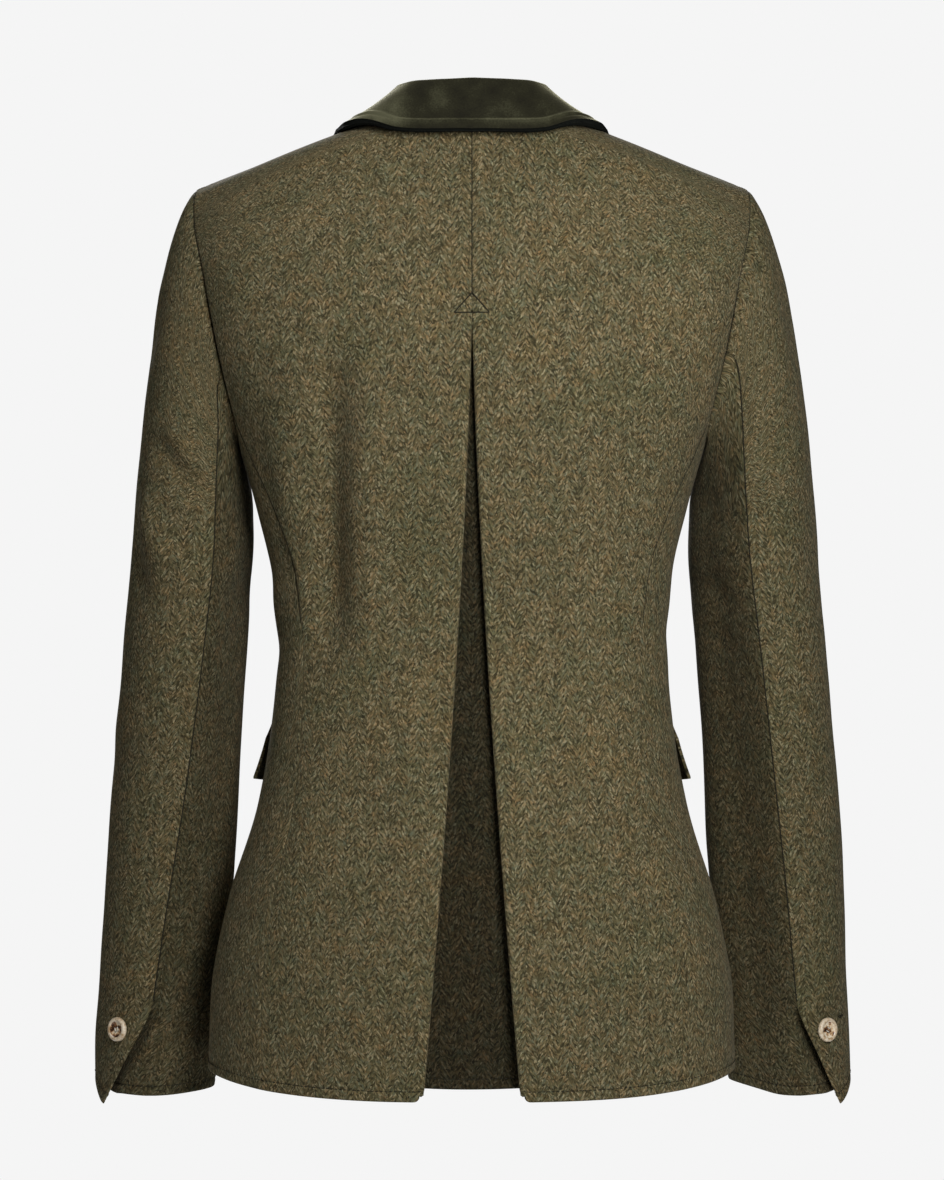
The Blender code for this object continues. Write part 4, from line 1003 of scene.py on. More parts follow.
def collar(stations, fall_rows):
    """Points of the collar from the left front end round to the right one, lower edge first, and the
    number of rows in felt."""
    way = np.concatenate([np.linspace(0.0, 1.985, stations), (1.990, 1.994, 1.997, 2.0)])
    rise, lean, edge_out, edge_over, lift = (smooth(COLLAR_ROWS, name, way) for name in COLLAR_ROWS[0][1:])
    seam = neck_seam(way)
    seam[:, 2] += LAP * (2.0 - ease(way - 1.0))
    edge = torso_lifted(edge_out, edge_over, lift)
    outward = torso_lifted(edge_out, edge_over, lift + 1.0) - edge
    turn_over = ease((way - 0.9) / 0.7)[:, None]
    upward = unit(np.array((0.0, 0.0, 1.0)) * (1.0 - turn_over) + outward * turn_over)
    away = edge - seam
    away = unit(away - upward * np.sum(away * upward, axis=1, keepdims=True))
    middle = seam + away * (COLLAR_ROLL - lean)[:, None] + upward * (rise - COLLAR_ROLL)[:, None]
    section = []
    for turn in ROLL_ANGLES:
        section.append(middle + COLLAR_ROLL * (-away * np.cos(turn) + upward * np.sin(turn)))
    start = section[-1]
    curve = FALL_BELLY - FALL_HOLLOW * np.exp(-((way - HOLLOW_WAY) / HOLLOW_WIDTH) ** 2)
    length = np.linalg.norm(edge - start, axis=1, keepdims=True)
    fall = []
    for part in np.concatenate([np.linspace(0.0, 0.62, fall_rows)[1:], np.linspace(0.64, 1.0, 22)]):
        bow = curve[:, None] * math.sin(math.pi * part)
        above = (1.0 - part) * length - COLLAR_STITCH
        ridge = RIDGE_HIGH * np.exp(-(above / RIDGE_WIDE) ** 2)
        groove = GROOVE_DEEP * np.exp(-((above + GROOVE_BELOW) / GROOVE_WIDE) ** 2)
        straight = start + (edge - start) * part
        fall.append(straight + (away + 0.5 * upward) * bow + outward * (ridge - groove))
    down = unit(edge - start)
    drop = FELT_DROP_MIDDLE + (FELT_DROP_ENDS - FELT_DROP_MIDDLE) * ease((way - 0.38) / 0.5)[:, None]
    felt = []
    for step in (0.25, 0.6, 1.0):
        felt.append(edge - outward * FELT_STEP_IN * ease(step * 3.0) + down * drop * step)
    stand = [seam + (section[0] - seam) * part for part in (0.0, 0.25, 0.5, 0.75)]
    whole = np.stack(stand + section + fall + felt, axis=0)[::-1]
    other = whole[:, 1:] * OTHER_SIDE
    return np.concatenate([whole[:, ::-1], other], axis=1), len(felt)


def pile_velvet(name, ridge_up):
    """Cotton velvet with a brushed pile: nearly black face on, pale where the pile is seen from the side.
    Painted light on the colour: paler towards the wearer's left, a painted highlight along the stitched
    ridge, and below it a paler strip that darkens towards the lower edge."""
    material = bpy.data.materials.new(name)
    material.use_nodes = True
    tree = material.node_tree
    shader = tree.nodes["Principled BSDF"]
    shader.inputs["Roughness"].default_value = 0.85
    shader.inputs["Specular IOR Level"].default_value = 0.15
    shader.inputs["Sheen Weight"].default_value = 0.55
    shader.inputs["Sheen Roughness"].default_value = 0.38
    shader.inputs["Sheen Tint"].default_value = (0.58, 0.55, 0.34, 1.0)
    place = on_cut(tree)
    brushed = noise(tree, place, 38.0, 3.0, 0.55)
    pile = noise(tree, place, 800.0, 2.0, 0.6)
    to_left = split(tree, in_space(tree))[0]
    up = split(tree, place)[1]
    # Painted light: paler towards the wearer's left, a painted highlight along the stitched ridge and a
    # paler strip below it that darkens to the lower edge; the fine pile noise is the velvet's own.
    pile_and_painted_light_rows = (
        (to_left, 0.035, 0.080, 0.0, 0.46),
        (up, ridge_up - 0.0070, ridge_up - 0.0012, -0.10, 0.12),
        (up, ridge_up - 0.0009, ridge_up - 0.0002, 0.0, 0.16),
        (up, ridge_up + 0.0003, ridge_up + 0.0012, 0.0, -0.28),
        (pile, 0.30, 0.70, -0.09, 0.09),
    )
    pile_and_painted_light = brushed
    for value, *span in pile_and_painted_light_rows:
        pile_and_painted_light = calculate(tree, "ADD", pile_and_painted_light, rescale(tree, value, *span))
    colour = ramp(tree, pile_and_painted_light, (
        (0.30, (0.009, 0.008, 0.004)),
        (0.52, (0.018, 0.017, 0.008)),
        (0.72, (0.046, 0.045, 0.024)),
        (0.95, (0.100, 0.098, 0.056)),
    ))
    tree.links.new(colour, shader.inputs["Base Color"])
    height = calculate(tree, "MULTIPLY", brushed, 1.4)
    height = calculate(tree, "ADD", height, calculate(tree, "MULTIPLY", pile, 0.5))
    dented(tree, shader, height, 0.5, 0.0007)
    return material


def press_felt(name):
    """Nearly black wool felt of the under collar, whose dark colour also stands in for the shade under the
    collar's edge.
    """
    material = bpy.data.materials.new(name)
    material.use_nodes = True
    tree = material.node_tree
    shader = tree.nodes["Principled BSDF"]
    shader.inputs["Roughness"].default_value = 1.0
    shader.inputs["Specular IOR Level"].default_value = 0.05
    fibres = noise(tree, on_cut(tree), 900.0, 2.0, 0.6)
    colour = ramp(tree, fibres, ((0.35, (0.004, 0.0045, 0.004)), (0.65, (0.010, 0.011, 0.009))))
    tree.links.new(colour, shader.inputs["Base Color"])
    dented(tree, shader, fibres, 0.4, 0.0004)
    return material


# The felt's near-black colour is partly painted shade, for the shade under the collar's lifted edge.
COLLAR_FELT_AND_SHADE = press_felt("under_collar_felt_and_shade")
points, felt_rows = collar(130, 14)
flat = lay_flat(points, points.shape[1] // 2)
ridge_up = flat[felt_rows, 0, 1] + COLLAR_STITCH + PIECE_SHIFT[1] * (sewn_count + 1)
VELVET_PILE = pile_velvet("collar_velvet", float(ridge_up))
points = slacken(points, flat, 0.00015, 61)
sew("collar", points, flat, stuff=VELVET_PILE, slot="velvet", thick=VELVET, under=COLLAR_FELT_AND_SHADE,
    felt_rows=felt_rows)

# Sleeves
# Two part tweed sleeves: the top sleeve and the under sleeve are joined at the elbow and fore seams, set
# into the armhole with a little ease, and left open at the cuff, where a pointed corner laps over.

BICEP_Z = -0.270
CUFF_Z = -0.6835
VENT_TOP_Z = -0.618
VENT_POINT_DROP = 0.0085
CAP_SHARE = 0.32
CAP_STEP_OUT = -0.0012
CAP_TUCK = 0.0003
SINK_ANGLES = (55.0, 190.0)
SINK_FADES = (40.0, 30.0)
CAP_LEAVE_OUT = 0.97
CAP_LEAVE_DOWN = 0.22
CAP_REACH = 0.006
CAP_REACH_TIP = 0.008
CAP_REACH_SIDES = 0.020
CAP_HANG = 0.62
CUFF_ARCH = 0.007
CUFF_ARCH_ANGLE = 4.0
CUFF_ARCH_WIDTH = 24.0
VENT_POINT_ANGLE = 43.0
VENT_POINT_REACH = 45.0
VENT_FLARE = 0.0042
POINT_ROUND_START = 0.72
POINT_ROUND = 0.20
CUFF_INNER_RISES = {"left": 0.002, "right": 0.007}
CUFF_RISE_REACH = 75.0
UNDERLAP = 15.0
UNDERLAP_RISE = 0.0016
UNDERLAP_RISE_ANGLES = (98.0, 44.0)
UNDERLAP_DEPTH = 0.0120
UNDERLAP_FULL = 0.28
UNDERLAP_TUCK_REACHES = {"left": 11.0, "right": 15.0}
FULLNESS_FADE = 0.72
HOLLOW_DEEPEST = 42.0
HOLLOW_END = 92.0
SEAM_RADIUS = 0.045
LEFT_FULLNESS = -0.0014
RIGHT_FULLNESS = 0.0024
HOLE_MIDDLE = np.array((0.192, 0.0, -0.135))
SLEEVE_ROWS = (
    ("height", "out", "deep", "across", "depth"),
    (-0.270, 0.1962, -0.022, 0.0432, 0.0590),
    (-0.300, 0.1972, -0.024, 0.0446, 0.0590),
    (-0.369, 0.2028, -0.028, 0.0450, 0.0565),
    (-0.440, 0.2087, -0.034, 0.0453, 0.0530),
    (-0.511, 0.2140, -0.043, 0.0464, 0.0500),
    (-0.583, 0.2193, -0.052, 0.0459, 0.0475),
    (-0.640, 0.2243, -0.057, 0.0448, 0.0455),
    (-0.700, 0.2277, -0.060, 0.0418, 0.0430),
)
SLEEVE_SEAM_ROWS = (
    ("run", "elbow_left", "elbow_right", "fore", "hollow_left", "hollow_right"),
    (0.00, 120.0, 112.0, 236.0, 0.0, 0.0),
    (0.06, 125.0, 110.0, 235.0, 0.0, 0.0),
    (0.15, 124.5, 107.0, 234.0, 0.0008, 0.0012),
    (0.30, 116.0, 101.0, 232.0, 0.0040, 0.0070),
    (0.45, 112.5, 96.0, 231.0, 0.0065, 0.0110),
    (0.60, 106.5, 92.0, 230.0, 0.0072, 0.0125),
    (0.84, 90.0, 84.5, 230.0, 0.0056, 0.0110),
    (1.00, 84.0, 82.0, 230.0, 0.0040, 0.0085),
)
LEFT_SLEEVE_CREASES = (
    ("from_across", "from_up", "to_across", "to_up", "bow", "width", "rise"),
    (0.028, 0.445, 0.074, 0.368, -0.004, 0.011, 0.0048),
    (0.036, 0.492, 0.096, 0.432, -0.005, 0.013, -0.0052),
    (0.012, 0.418, 0.050, 0.350, -0.004, 0.011, -0.0036),
    (0.010, 0.520, 0.030, 0.590, 0.004, 0.010, -0.0020),
    (-0.060, 0.390, -0.020, 0.350, 0.004, 0.012, -0.0014),
    (0.000, 0.230, 0.060, 0.262, 0.004, 0.014, -0.0012),
    (-0.070, 0.470, -0.050, 0.560, 0.004, 0.012, -0.0014),
)
RIGHT_SLEEVE_CREASES = (
    ("from_across", "from_up", "to_across", "to_up", "bow", "width", "rise"),
    (0.010, 0.400, 0.080, 0.350, -0.005, 0.016, -0.0014),
    (0.000, 0.345, 0.075, 0.310, -0.005, 0.016, 0.0010),
    (0.020, 0.520, 0.034, 0.600, 0.004, 0.012, -0.0016),
    (-0.060, 0.380, -0.020, 0.330, 0.004, 0.012, -0.0014),
    (-0.070, 0.470, -0.050, 0.560, 0.004, 0.012, -0.0012),
)
UNDER_SLEEVE_CREASES = (
    ("from_across", "from_up", "to_across", "to_up", "bow", "width", "rise"),
    (-0.050, 0.345, 0.030, 0.365, 0.004, 0.012, -0.0022),
    (-0.050, 0.315, 0.020, 0.330, 0.004, 0.011, -0.0016),
    (-0.050, 0.385, 0.020, 0.405, 0.004, 0.011, 0.0014),
)
hole_run = np.linspace(SHOULDER_LEVEL, UNDERARM_LEVEL, 400)
BACK_HOLE = torso_at(armhole_angle(hole_run, False), hole_run)
FRONT_HOLE = torso_at(armhole_angle(hole_run, True), hole_run)[::-1]


def along_line(line, part):
    """Point at a part of a line's length."""
    length = np.concatenate([[0.0], np.cumsum(np.linalg.norm(np.diff(line, axis=0), axis=1))])
    goal = np.asarray(part) * length[-1]
    return np.stack([np.interp(goal, length, line[:, axis]) for axis in range(3)], axis=-1)


def hole_point(angle):
    """Armhole point at an angle: 0 shoulder tip, 90 back, 180 underarm, 270 front."""
    angle = np.mod(angle, 360.0)
    behind = along_line(BACK_HOLE, np.clip(angle / 180.0, 0.0, 1.0))
    before = along_line(FRONT_HOLE, np.clip(angle / 180.0 - 1.0, 0.0, 1.0))
    point = np.where((angle <= 180.0)[..., None], behind, before)
    inward = HOLE_MIDDLE - point
    inward[..., 0] = 0.0
    return point + unit(inward) * CAP_TUCK + np.array((CAP_STEP_OUT, 0.0, 0.0))


def sleeve_middle(height):
    out = smooth(SLEEVE_ROWS, "out", height)
    return np.stack([out, smooth(SLEEVE_ROWS, "deep", height), height], axis=-1)


def sleeve_ring(angle, height):
    """Point of the hanging sleeve at an angle: 0 outer side, 90 back, 180 inner side, 270 front."""
    turn = np.radians(angle)
    out = smooth(SLEEVE_ROWS, "out", height) + smooth(SLEEVE_ROWS, "across", height) * np.cos(turn)
    deep = smooth(SLEEVE_ROWS, "deep", height) + smooth(SLEEVE_ROWS, "depth", height) * np.sin(turn)
    return np.stack([out, deep, height + 0.0 * turn], axis=-1)


def sleeve_point(angle, run, hem):
    """Point of the sleeve; run is 0 at the armhole and 1 at the cuff, whose height is hem."""
    angle, run, hem = np.broadcast_arrays(np.asarray(angle, float), run, hem)
    begin = hole_point(angle)
    top_part = 0.5 + 0.5 * np.cos(np.radians(angle))
    finish = sleeve_ring(angle, np.full_like(angle, BICEP_Z))
    below = sleeve_ring(angle, np.full_like(angle, BICEP_Z - 0.01))
    span = np.linalg.norm(finish - begin, axis=-1, keepdims=True)
    side_part = np.sin(np.radians(np.mod(angle, 360.0) / 2.0))
    leave = np.stack([CAP_LEAVE_OUT + 0.0 * angle, 0.0 * angle, -CAP_LEAVE_DOWN * top_part ** 2], axis=-1)
    reach = CAP_REACH + (CAP_REACH_SIDES * side_part + CAP_REACH_TIP) * top_part
    first = begin + leave * reach[..., None]
    second = finish - unit(below - finish) * span * CAP_HANG
    part = np.clip(run / CAP_SHARE, 0.0, 1.0)[..., None]
    rest = 1.0 - part
    cap = (rest ** 3 * begin + 3 * rest ** 2 * part * first + 3 * rest * part ** 2 * second
           + part ** 3 * finish)
    height = BICEP_Z + (hem - BICEP_Z) * np.clip((run - CAP_SHARE) / (1.0 - CAP_SHARE), 0.0, 1.0)
    return np.where((run < CAP_SHARE)[..., None], cap, sleeve_ring(angle, height))


def hollowed(points, angle, run, side):
    """Let the under sleeve sink in beside the elbow seam, as cloth does on the inner side of an arm."""
    beyond = angle - smooth(SLEEVE_SEAM_ROWS, "elbow_" + side, run)
    sink = np.sin(0.5 * math.pi * np.clip(beyond / HOLLOW_DEEPEST, 0.0, 1.0))
    sink = sink * (1.0 - ease((beyond - HOLLOW_DEEPEST) / (HOLLOW_END - HOLLOW_DEEPEST)))
    depth = smooth(SLEEVE_SEAM_ROWS, "hollow_" + side, run) * sink
    return points + unit(sleeve_middle(points[..., 2]) - points) * depth[..., None]


def sink_at_hole(points, angle):
    """Let the sleeve sink in where it is sewn to the back of the armhole and under the arm."""
    steps = np.linalg.norm(np.diff(points, axis=0), axis=-1)[::-1]
    gap = np.concatenate([np.zeros((1, points.shape[1])), np.cumsum(steps, axis=0)], axis=0)[::-1]
    near = np.clip(1.0 - gap / (EDGE_ROUND + ARMHOLE_WIDER), 0.0, 1.0)
    begun = ease((angle - SINK_ANGLES[0]) / SINK_FADES[0])
    deep = begun * (1.0 - ease((angle - SINK_ANGLES[1]) / SINK_FADES[1]))
    sink = ARMHOLE_SINK * deep * (1.0 - np.sqrt(1.0 - near ** 2))
    return points + unit(HOLE_MIDDLE - points) * sink[..., None]


def vent_part(run):
    """0 above the vent, 1 at the cuff."""
    vent_run = CAP_SHARE + (1.0 - CAP_SHARE) * (BICEP_Z - VENT_TOP_Z) / (BICEP_Z - CUFF_Z)
    return np.clip((run - vent_run) / (1.0 - vent_run), 0.0, 1.0)


def vent_edge(run, side):
    """Angle of the top sleeve's back edge: the elbow seam, then the slanting edge of the vent."""
    seam = np.cos(np.radians(smooth(SLEEVE_SEAM_ROWS, "elbow_" + side, run)))
    point = math.cos(math.radians(VENT_POINT_ANGLE))
    return np.degrees(np.arccos(seam + (point - seam) * vent_part(run) ** 1.2))


def fuller(points, angle, run, fullness):
    """Let the outer side of one sleeve hang a little further out, or in."""
    moved = points.copy()
    here = ease(run / CAP_SHARE) * (1.0 - ease((run - FULLNESS_FADE) / (1.0 - FULLNESS_FADE)))
    moved[..., 0] += fullness * (0.5 + 0.5 * np.cos(np.radians(angle))) * here
    return moved


def top_sleeve(runs, parts, side, fullness, creases, seed):
    run = runs[:, None]
    slit = vent_part(run)
    gap = np.degrees(SEAM / 2 / SEAM_RADIUS)
    elbow = vent_edge(run, side) - gap
    fore = smooth(SLEEVE_SEAM_ROWS, "fore", run) - 360.0 + gap
    angle = fore + (elbow - fore) * parts[None, :]
    near = np.clip(1.0 - (elbow - angle) / VENT_POINT_REACH, 0.0, 1.0) ** 2
    arch = CUFF_ARCH * np.exp(-((angle - CUFF_ARCH_ANGLE) / CUFF_ARCH_WIDTH) ** 2)
    tip = np.clip((near - POINT_ROUND_START) / (1.0 - POINT_ROUND_START), 0.0, 1.0)
    rise = CUFF_INNER_RISES[side] * (1.0 - ease((angle - fore) / CUFF_RISE_REACH))
    hem = CUFF_Z + arch + rise - VENT_POINT_DROP * (near - POINT_ROUND * tip ** 2) * slit
    points = fuller(sleeve_point(angle, run + 0.0 * angle, hem), angle, run, fullness)
    points = hollowed(points, angle, run, side)
    outward = unit(points - sleeve_middle(points[..., 2]))
    points = points + outward * (VENT_FLARE * near * ease(slit * 2.0))[..., None]
    outer = int(np.argmin(np.abs(angle[len(runs) // 2])))
    flat = lay_flat(points, outer)
    points = press(points, flat, creases)
    points = slacken(points, flat, 0.00024, seed)
    points = stitch_groove(points, flat[..., 1])
    return sink_at_hole(round_edges(points, flat, high=False), angle), flat


def under_sleeve(runs, parts, side, fullness, creases, seed):
    run = runs[:, None]
    slit = vent_part(run)
    gap = np.degrees(SEAM / 2 / SEAM_RADIUS)
    seam = smooth(SLEEVE_SEAM_ROWS, "elbow_" + side, run)
    edge = vent_edge(run, side)
    passed = np.clip(slit / UNDERLAP_FULL, 0.0, 1.0)
    elbow = seam + gap - (seam - edge + UNDERLAP + gap) * passed
    fore = smooth(SLEEVE_SEAM_ROWS, "fore", run) - gap
    angle = elbow + (fore - elbow) * parts[None, :]
    low_angle, high_angle = UNDERLAP_RISE_ANGLES
    rise = CUFF_INNER_RISES[side] * ease((angle - low_angle) / CUFF_RISE_REACH)
    hem = CUFF_Z + rise + UNDERLAP_RISE * ease((low_angle - angle) / (low_angle - high_angle)) * slit
    points = fuller(sleeve_point(angle, run + 0.0 * angle, hem), angle, run, fullness)
    points = hollowed(points, angle, run, side)
    tucked = np.clip((edge - angle) / UNDERLAP_TUCK_REACHES[side] + 1.0, 0.0, 1.0)
    points[..., 1] -= UNDERLAP_DEPTH * np.sin(0.5 * math.pi * passed) * tucked
    flat = lay_flat(points, points.shape[1] // 2)
    points = press(points, flat, creases)
    points = slacken(points, flat, 0.00022, seed)
    points = stitch_groove(points, flat[..., 1])
    return sink_at_hole(round_edges(points, flat, high=False), angle), flat


SLEEVE_LENGTH = 0.60
ELBOW_SEAM_TOP = 0.075
# Painted shade: the top sleeves' tweed is a little darker than the body's, and the under sleeves' darker
# still below the armhole, for the shade on the sleeves.
SLEEVE_PAINTED_SHADE = 0.91
UNDER_SLEEVE_PAINTED_SHADE = 0.64
SHADED_TOP_TWEED = weave_tweed("sleeve_tweed_painted_shade", SLEEVE_PAINTED_SHADE)
SHADED_UNDER_TWEED = weave_tweed("under_sleeve_tweed_painted_shade", SLEEVE_PAINTED_SHADE, UNDER_SLEEVE_PAINTED_SHADE)
sleeve_runs = np.concatenate([
    (0.0, 0.0012, 0.0028, 0.0050, 0.0080), np.linspace(0.0120, CAP_SHARE, 52),
    np.linspace(CAP_SHARE, 0.972, 118)[1:], 1.0 - HEM_STEPS[::-1] / SLEEVE_LENGTH])[::-1]
sleeve_grids = {}
for side, fullness, creases, mirrored, seed in (("left", LEFT_FULLNESS, LEFT_SLEEVE_CREASES, False, 71),
                                                ("right", RIGHT_FULLNESS, RIGHT_SLEEVE_CREASES, True, 75)):
    points, flat = top_sleeve(sleeve_runs, shares(0.200), side, fullness, creases, seed)
    sew("sleeve_top_" + side, points, flat, SHADED_TOP_TWEED, mirrored=mirrored, stitched=points.shape[1])
    sleeve_grids[side] = points
    shown = (vent_part(sleeve_runs) == 0.0) & (sleeve_runs > ELBOW_SEAM_TOP)
    elbow_seam = (points + normals(points) * SEAM_THREAD_OFF)[shown, -2]
    closed_rows.append(elbow_seam * OTHER_SIDE if mirrored else elbow_seam)
    points, flat = under_sleeve(sleeve_runs, shares(0.110), side, fullness, UNDER_SLEEVE_CREASES, seed + 1)
    sew("sleeve_under_" + side, points, flat, SHADED_UNDER_TWEED, mirrored=mirrored, stitched=points.shape[1])

# Pocket flaps
# Tweed flaps with a rounded front corner, sewn at their tops into the pocket slit on the front and the
# side panel. Their back ends stand off the hip.

FLAP_TOP_LEVEL = 0.362
FLAP_LOW_LEVEL = 0.300
FLAP_BACK_ANGLE = 92.0
FLAP_FRONT_ANGLE = 140.0
FLAP_STAND = 0.0040
FLAP_LIFT = 0.0012
FLAP_SLANT = 0.010
FLAP_SLIT = 0.3
FLAP_ROUND = 0.16
FLAP_ROUND_DEPTH = 0.34


def flap(rows, parts):
    down = np.linspace(1.0, 0.0, rows)[:, None]
    part = parts[None, :]
    angle = FLAP_FRONT_ANGLE + (FLAP_BACK_ANGLE - FLAP_FRONT_ANGLE) * part + 0.0 * down
    slant = -FLAP_SLANT * (1.0 - part)
    corner = np.clip((FLAP_ROUND - part) / FLAP_ROUND, 0.0, 1.0)
    depth = 1.0 - FLAP_ROUND_DEPTH * (1.0 - np.sqrt(1.0 - corner ** 2))
    level = FLAP_TOP_LEVEL + slant + (FLAP_LOW_LEVEL - FLAP_TOP_LEVEL) * down * depth
    stand = (CLOTH + LAP) * np.minimum(down / FLAP_SLIT, 1.0)
    stand = stand + (FLAP_LIFT + FLAP_STAND * part ** 1.5) * down ** 1.3
    points = torso_at(angle, level) + torso_normal(angle, level) * stand[..., None]
    flat = lay_flat(points, points.shape[1] // 2)
    return round_edges(points, flat, high=False, depth=THIN_EDGE_SINK), flat


points, flat = flap(40, shares(0.090, 0.0022))
sew("flap_left", points, flat)
sew("flap_right", points, flat, mirrored=True)

# Hem and seam stitching
# One row of olive thread 7 mm above every lower edge of the body and the cuffs, which holds the turned hem,
# and the same thread in the ditch of the armhole, side back, shoulder and elbow seams.

HEM_PITCH = 0.0032
HEM_STITCH_LONG = 0.0026
HEM_THICK = 0.00036
SEAM_PITCH = 0.0018
SEAM_STITCH_LONG = 0.0026
SEAM_THICK = 0.00027
CLOSED_SEAM_THICK = 0.00050
work = bmesh.new()
for row in hem_rows:
    stitch(work, row, HEM_PITCH, HEM_STITCH_LONG, HEM_THICK)
thread_piece("hem_thread", work)
# The dark threads in the seam ditches are partly painted shade, standing in for the shade in the ditches.
work = bmesh.new()
for row in seam_rows:
    stitch(work, row, SEAM_PITCH, SEAM_STITCH_LONG, SEAM_THICK)
for row in closed_rows:
    stitch(work, row, SEAM_PITCH, SEAM_STITCH_LONG, CLOSED_SEAM_THICK)
thread_piece("seam_thread", work)

# Buttons
# Stag horn buttons of 17 mm with a pale rim and a burnt, dished middle, sewn on through four holes: one on
# each sleeve vent and two that close the front. The right cuff's worked buttonhole shows beside its button.

BUTTON_PROFILE = (
    (0.0000, 0.0000), (0.0074, 0.0000), (0.0082, 0.0004), (0.0085, 0.0012), (0.0085, 0.0021),
    (0.0082, 0.0029), (0.0076, 0.0034), (0.0069, 0.0036), (0.0062, 0.0035), (0.0056, 0.0031),
    (0.0051, 0.0026), (0.0040, 0.0023), (0.0020, 0.0021), (0.0000, 0.0021))
BUTTON_STEPS = 44
RIM_INNER = 0.0058
HOLE_PLACE = 0.00125
HOLE_RADIUS = 0.00075
HOLE_HEIGHT = 0.00222
THREAD_BAR = (0.00050, 0.00165, 0.00045, 1.0)
THREAD_BAR_HEIGHT = 0.00235
BUTTONHOLE_ANGLES = (40.0, 31.0)
BUTTONHOLE_Z = -0.6275
BUTTONHOLE_OFF = 0.0004
BUTTONHOLE_STITCH = (0.0007, 0.0012, 0.0009)


def polish_horn(name, stops, streak):
    """Polished horn. In other colours it is also the shade in the holes and the waxed thread."""
    material = bpy.data.materials.new(name)
    material.use_nodes = True
    tree = material.node_tree
    shader = tree.nodes["Principled BSDF"]
    shader.inputs["Roughness"].default_value = 0.32
    shader.inputs["Coat Weight"].default_value = 0.25
    shader.inputs["Coat Roughness"].default_value = 0.2
    grain = noise(tree, in_space(tree), streak, 3.0, 0.6)
    tree.links.new(ramp(tree, grain, stops), shader.inputs["Base Color"])
    dented(tree, shader, grain, 0.25, 0.0004)
    return material


HORN_RIM = polish_horn("pale_horn", (
    (0.35, (0.42, 0.28, 0.15)), (0.50, (0.66, 0.53, 0.37)), (0.65, (0.80, 0.70, 0.55))), 330.0)
HORN_MIDDLE = polish_horn("burnt_horn", (
    (0.40, (0.045, 0.020, 0.009)), (0.46, (0.27, 0.120, 0.050)), (0.51, (0.62, 0.42, 0.23)),
    (0.60, (0.82, 0.71, 0.54))), 247.0)
HOLE_DARK = polish_horn("hole_shadow", ((0.4, (0.010, 0.006, 0.004)), (0.6, (0.020, 0.012, 0.008))), 500.0)
PALE_THREAD = polish_horn("pale_thread", ((0.4, (0.50, 0.46, 0.38)), (0.6, (0.68, 0.64, 0.55))), 2000.0)


def nearest(points, goal):
    """Point of a grid nearest to a goal, and the outward direction there."""
    away = np.linalg.norm(points - goal, axis=-1)
    row, column = np.unravel_index(np.argmin(away), away.shape)
    return points[row, column], normals(points)[row, column]


def button(node, centre, outward, turned):
    work = bmesh.new()
    verts = [work.verts.new((radius, 0.0, height)) for radius, height in BUTTON_PROFILE]
    edges = [work.edges.new(pair) for pair in zip(verts, verts[1:])]
    bmesh.ops.spin(work, geom=verts + edges, cent=(0.0, 0.0, 0.0), axis=(0.0, 0.0, 1.0),
                   angle=2.0 * math.pi, steps=BUTTON_STEPS, use_merge=True)
    bmesh.ops.remove_doubles(work, verts=work.verts, dist=1e-6)
    bmesh.ops.recalc_face_normals(work, faces=work.faces)
    for face in work.faces:
        place = face.calc_center_median()
        face.material_index = 1 if place.z > 0.0015 and math.hypot(place.x, place.y) < RIM_INNER else 0
    for out in (-HOLE_PLACE, HOLE_PLACE):
        for over in (-HOLE_PLACE, HOLE_PLACE):
            made = bmesh.ops.create_circle(work, cap_ends=True, segments=14, radius=HOLE_RADIUS,
                                           matrix=Matrix.Translation((out, over, HOLE_HEIGHT)))
            for face in {face for vert in made["verts"] for face in vert.link_faces}:
                face.material_index = 2
        bar = Matrix.Translation((out, 0.0, THREAD_BAR_HEIGHT)) @ Matrix.Diagonal(THREAD_BAR)
        made = bmesh.ops.create_icosphere(work, subdivisions=2, radius=1.0, matrix=bar)
        for face in {face for vert in made["verts"] for face in vert.link_faces}:
            face.material_index = 3
    mesh = bpy.data.meshes.new("horn_" + node)
    aim = Vector(outward).to_track_quat("Z", "Y").to_matrix().to_4x4()
    work.transform(Matrix.Translation(centre) @ aim @ Matrix.Rotation(turned, 4, "Z"))
    work.to_mesh(mesh)
    work.free()
    mesh.shade_smooth()
    for material in (HORN_RIM, HORN_MIDDLE, HOLE_DARK, PALE_THREAD):
        mesh.materials.append(material)
    piece = bpy.data.objects.new("horn_" + node, mesh)
    bpy.context.scene.collection.objects.link(piece)
    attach(piece, "root")
    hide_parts(node)


for node, grid, side, turned in (("cuff_button_left", sleeve_grids["left"], 1.0, 0.3),
                                 ("cuff_button_right", sleeve_grids["right"], -1.0, 1.1),
                                 ("front_button_upper", right_front, -1.0, 0.7),
                                 ("front_button_lower", right_front, -1.0, 2.0)):
    low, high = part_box(node)
    flip = np.array((side, 1.0, 1.0))
    spot, outward = nearest(grid, 0.5 * (np.array(low) + np.array(high)) * flip)
    button(node, spot * flip, outward * flip, turned)
work = bmesh.new()
hole_angle = np.linspace(*BUTTONHOLE_ANGLES, 12)
hole_path = []
for goal in sleeve_ring(hole_angle, np.full(12, BUTTONHOLE_Z)):
    spot, outward = nearest(sleeve_grids["right"], goal)
    hole_path.append((spot + outward * BUTTONHOLE_OFF) * OTHER_SIDE)
stitch(work, np.array(hole_path), *BUTTONHOLE_STITCH)
thread_piece("cuff_buttonhole", work)

# Stage
# A pale studio: floor well below the jacket, a soft key from the right of the camera, a small lamp high on
# the left, a soft lamp on the front that the camera doesn't see, and weak fill all round.

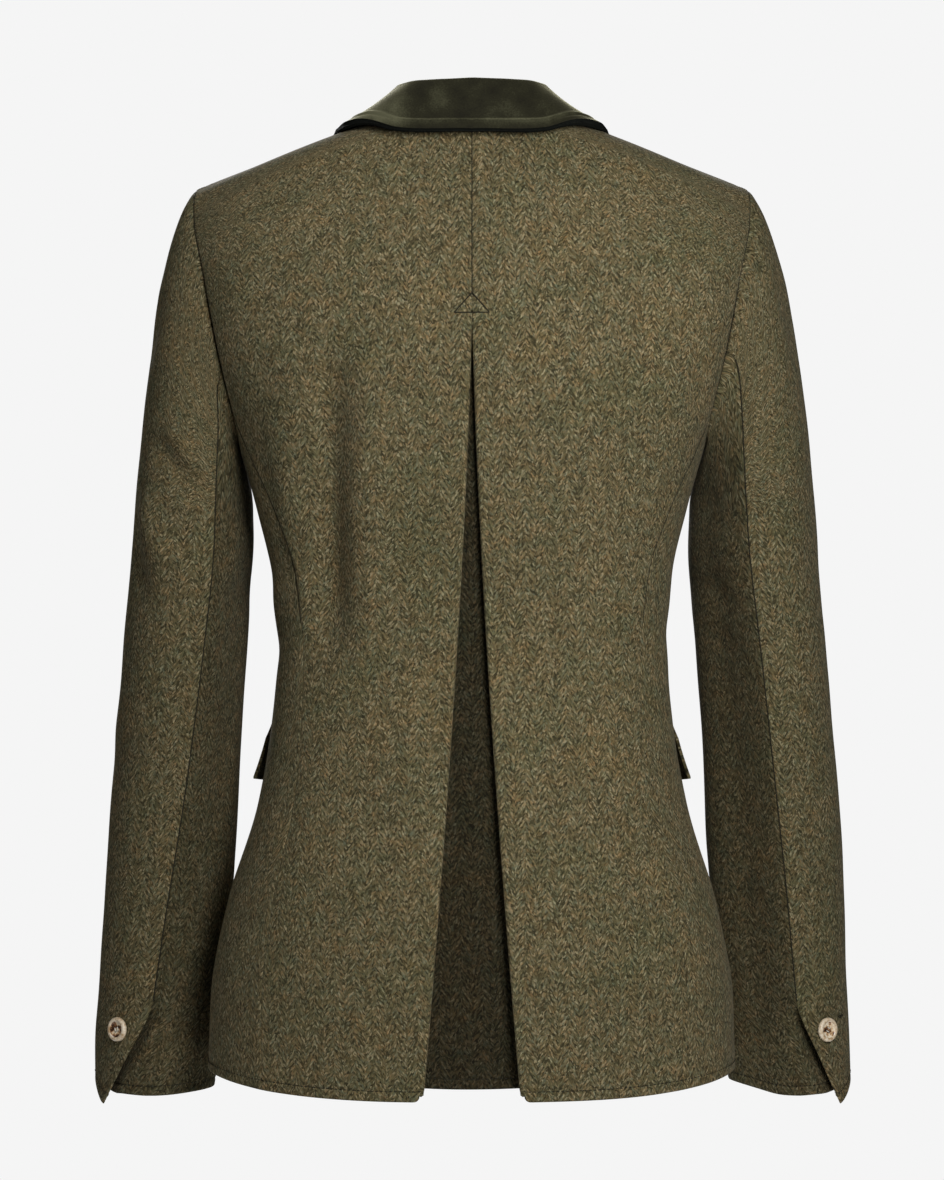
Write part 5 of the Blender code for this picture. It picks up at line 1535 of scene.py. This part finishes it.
world = bpy.data.worlds.new("studio")
bpy.context.scene.world = world
world.use_nodes = True
world_tree = world.node_tree
seen = world_tree.nodes.new("ShaderNodeBackground")
seen.inputs["Color"].default_value = (0.913, 0.913, 0.913, 1.0)
seen.inputs["Strength"].default_value = 1.0
fill = world_tree.nodes["Background"]
fill.inputs["Color"].default_value = (0.92, 0.96, 1.0, 1.0)
fill.inputs["Strength"].default_value = 0.030
path = world_tree.nodes.new("ShaderNodeLightPath")
either = world_tree.nodes.new("ShaderNodeMixShader")
world_tree.links.new(path.outputs["Is Camera Ray"], either.inputs[0])
world_tree.links.new(fill.outputs[0], either.inputs[1])
world_tree.links.new(seen.outputs[0], either.inputs[2])
world_tree.links.new(either.outputs[0], world_tree.nodes["World Output"].inputs["Surface"])
bpy.context.scene.view_settings.view_transform = "Standard"

floor_mesh = bpy.data.meshes.new("floor")
work = bmesh.new()
bmesh.ops.create_circle(work, cap_ends=True, segments=96, radius=1.15,
                        matrix=Matrix.Translation((0.0, 0.0, -1.08)))
work.to_mesh(floor_mesh)
work.free()
floor = bpy.data.objects.new("floor", floor_mesh)
bpy.context.scene.collection.objects.link(floor)
floor_paint = bpy.data.materials.new("pale_floor")
floor_paint.use_nodes = True
floor_paint.node_tree.nodes["Principled BSDF"].inputs["Base Color"].default_value = (0.80, 0.80, 0.80, 1.0)
floor_paint.node_tree.nodes["Principled BSDF"].inputs["Roughness"].default_value = 0.9
floor_mesh.materials.append(floor_paint)

LIGHT_ROWS = (
    ("name", "place", "goal", "power", "wide", "tall"),
    ("key", (-0.36, 1.15, 0.06), (0.0, 0.0, -0.33), 15.2, 0.42, 0.7),
    ("side", (1.00, 0.30, 0.75), (0.22, 0.0, -0.12), 4.2, 0.5, 0.5),
    ("soft_front", (0.3, -2.6, 0.9), (0.0, 0.0, -0.35), 90.0, 1.3, 1.3),
)
for name, place, goal, power, wide, tall in LIGHT_ROWS[1:]:
    lamp = bpy.data.lights.new(name, "AREA")
    lamp.energy = power
    lamp.shape = "RECTANGLE"
    lamp.size = wide
    lamp.size_y = tall
    lamp_object = bpy.data.objects.new(name, lamp)
    lamp_object.location = place
    lamp_object.visible_camera = False
    lamp_object.rotation_euler = (Vector(goal) - Vector(place)).to_track_quat("-Z", "Y").to_euler()
    bpy.context.scene.collection.objects.link(lamp_object)

CAMERA_AWAY = 2.8
CAMERA_HEIGHT = -0.327
FRAME_HEIGHT = 1180 * 0.0007
camera_data = bpy.data.cameras.new("photo_camera")
camera_data.sensor_fit = "VERTICAL"
camera_data.angle_y = 2.0 * math.atan(0.5 * FRAME_HEIGHT / CAMERA_AWAY)
camera = bpy.data.objects.new("photo_camera", camera_data)
camera.location = (0.0, CAMERA_AWAY, CAMERA_HEIGHT)
camera.rotation_euler = (math.radians(90.0), 0.0, math.radians(180.0))
bpy.context.scene.collection.objects.link(camera)
bpy.context.scene.camera = camera

bpy.context.view_layer.update()
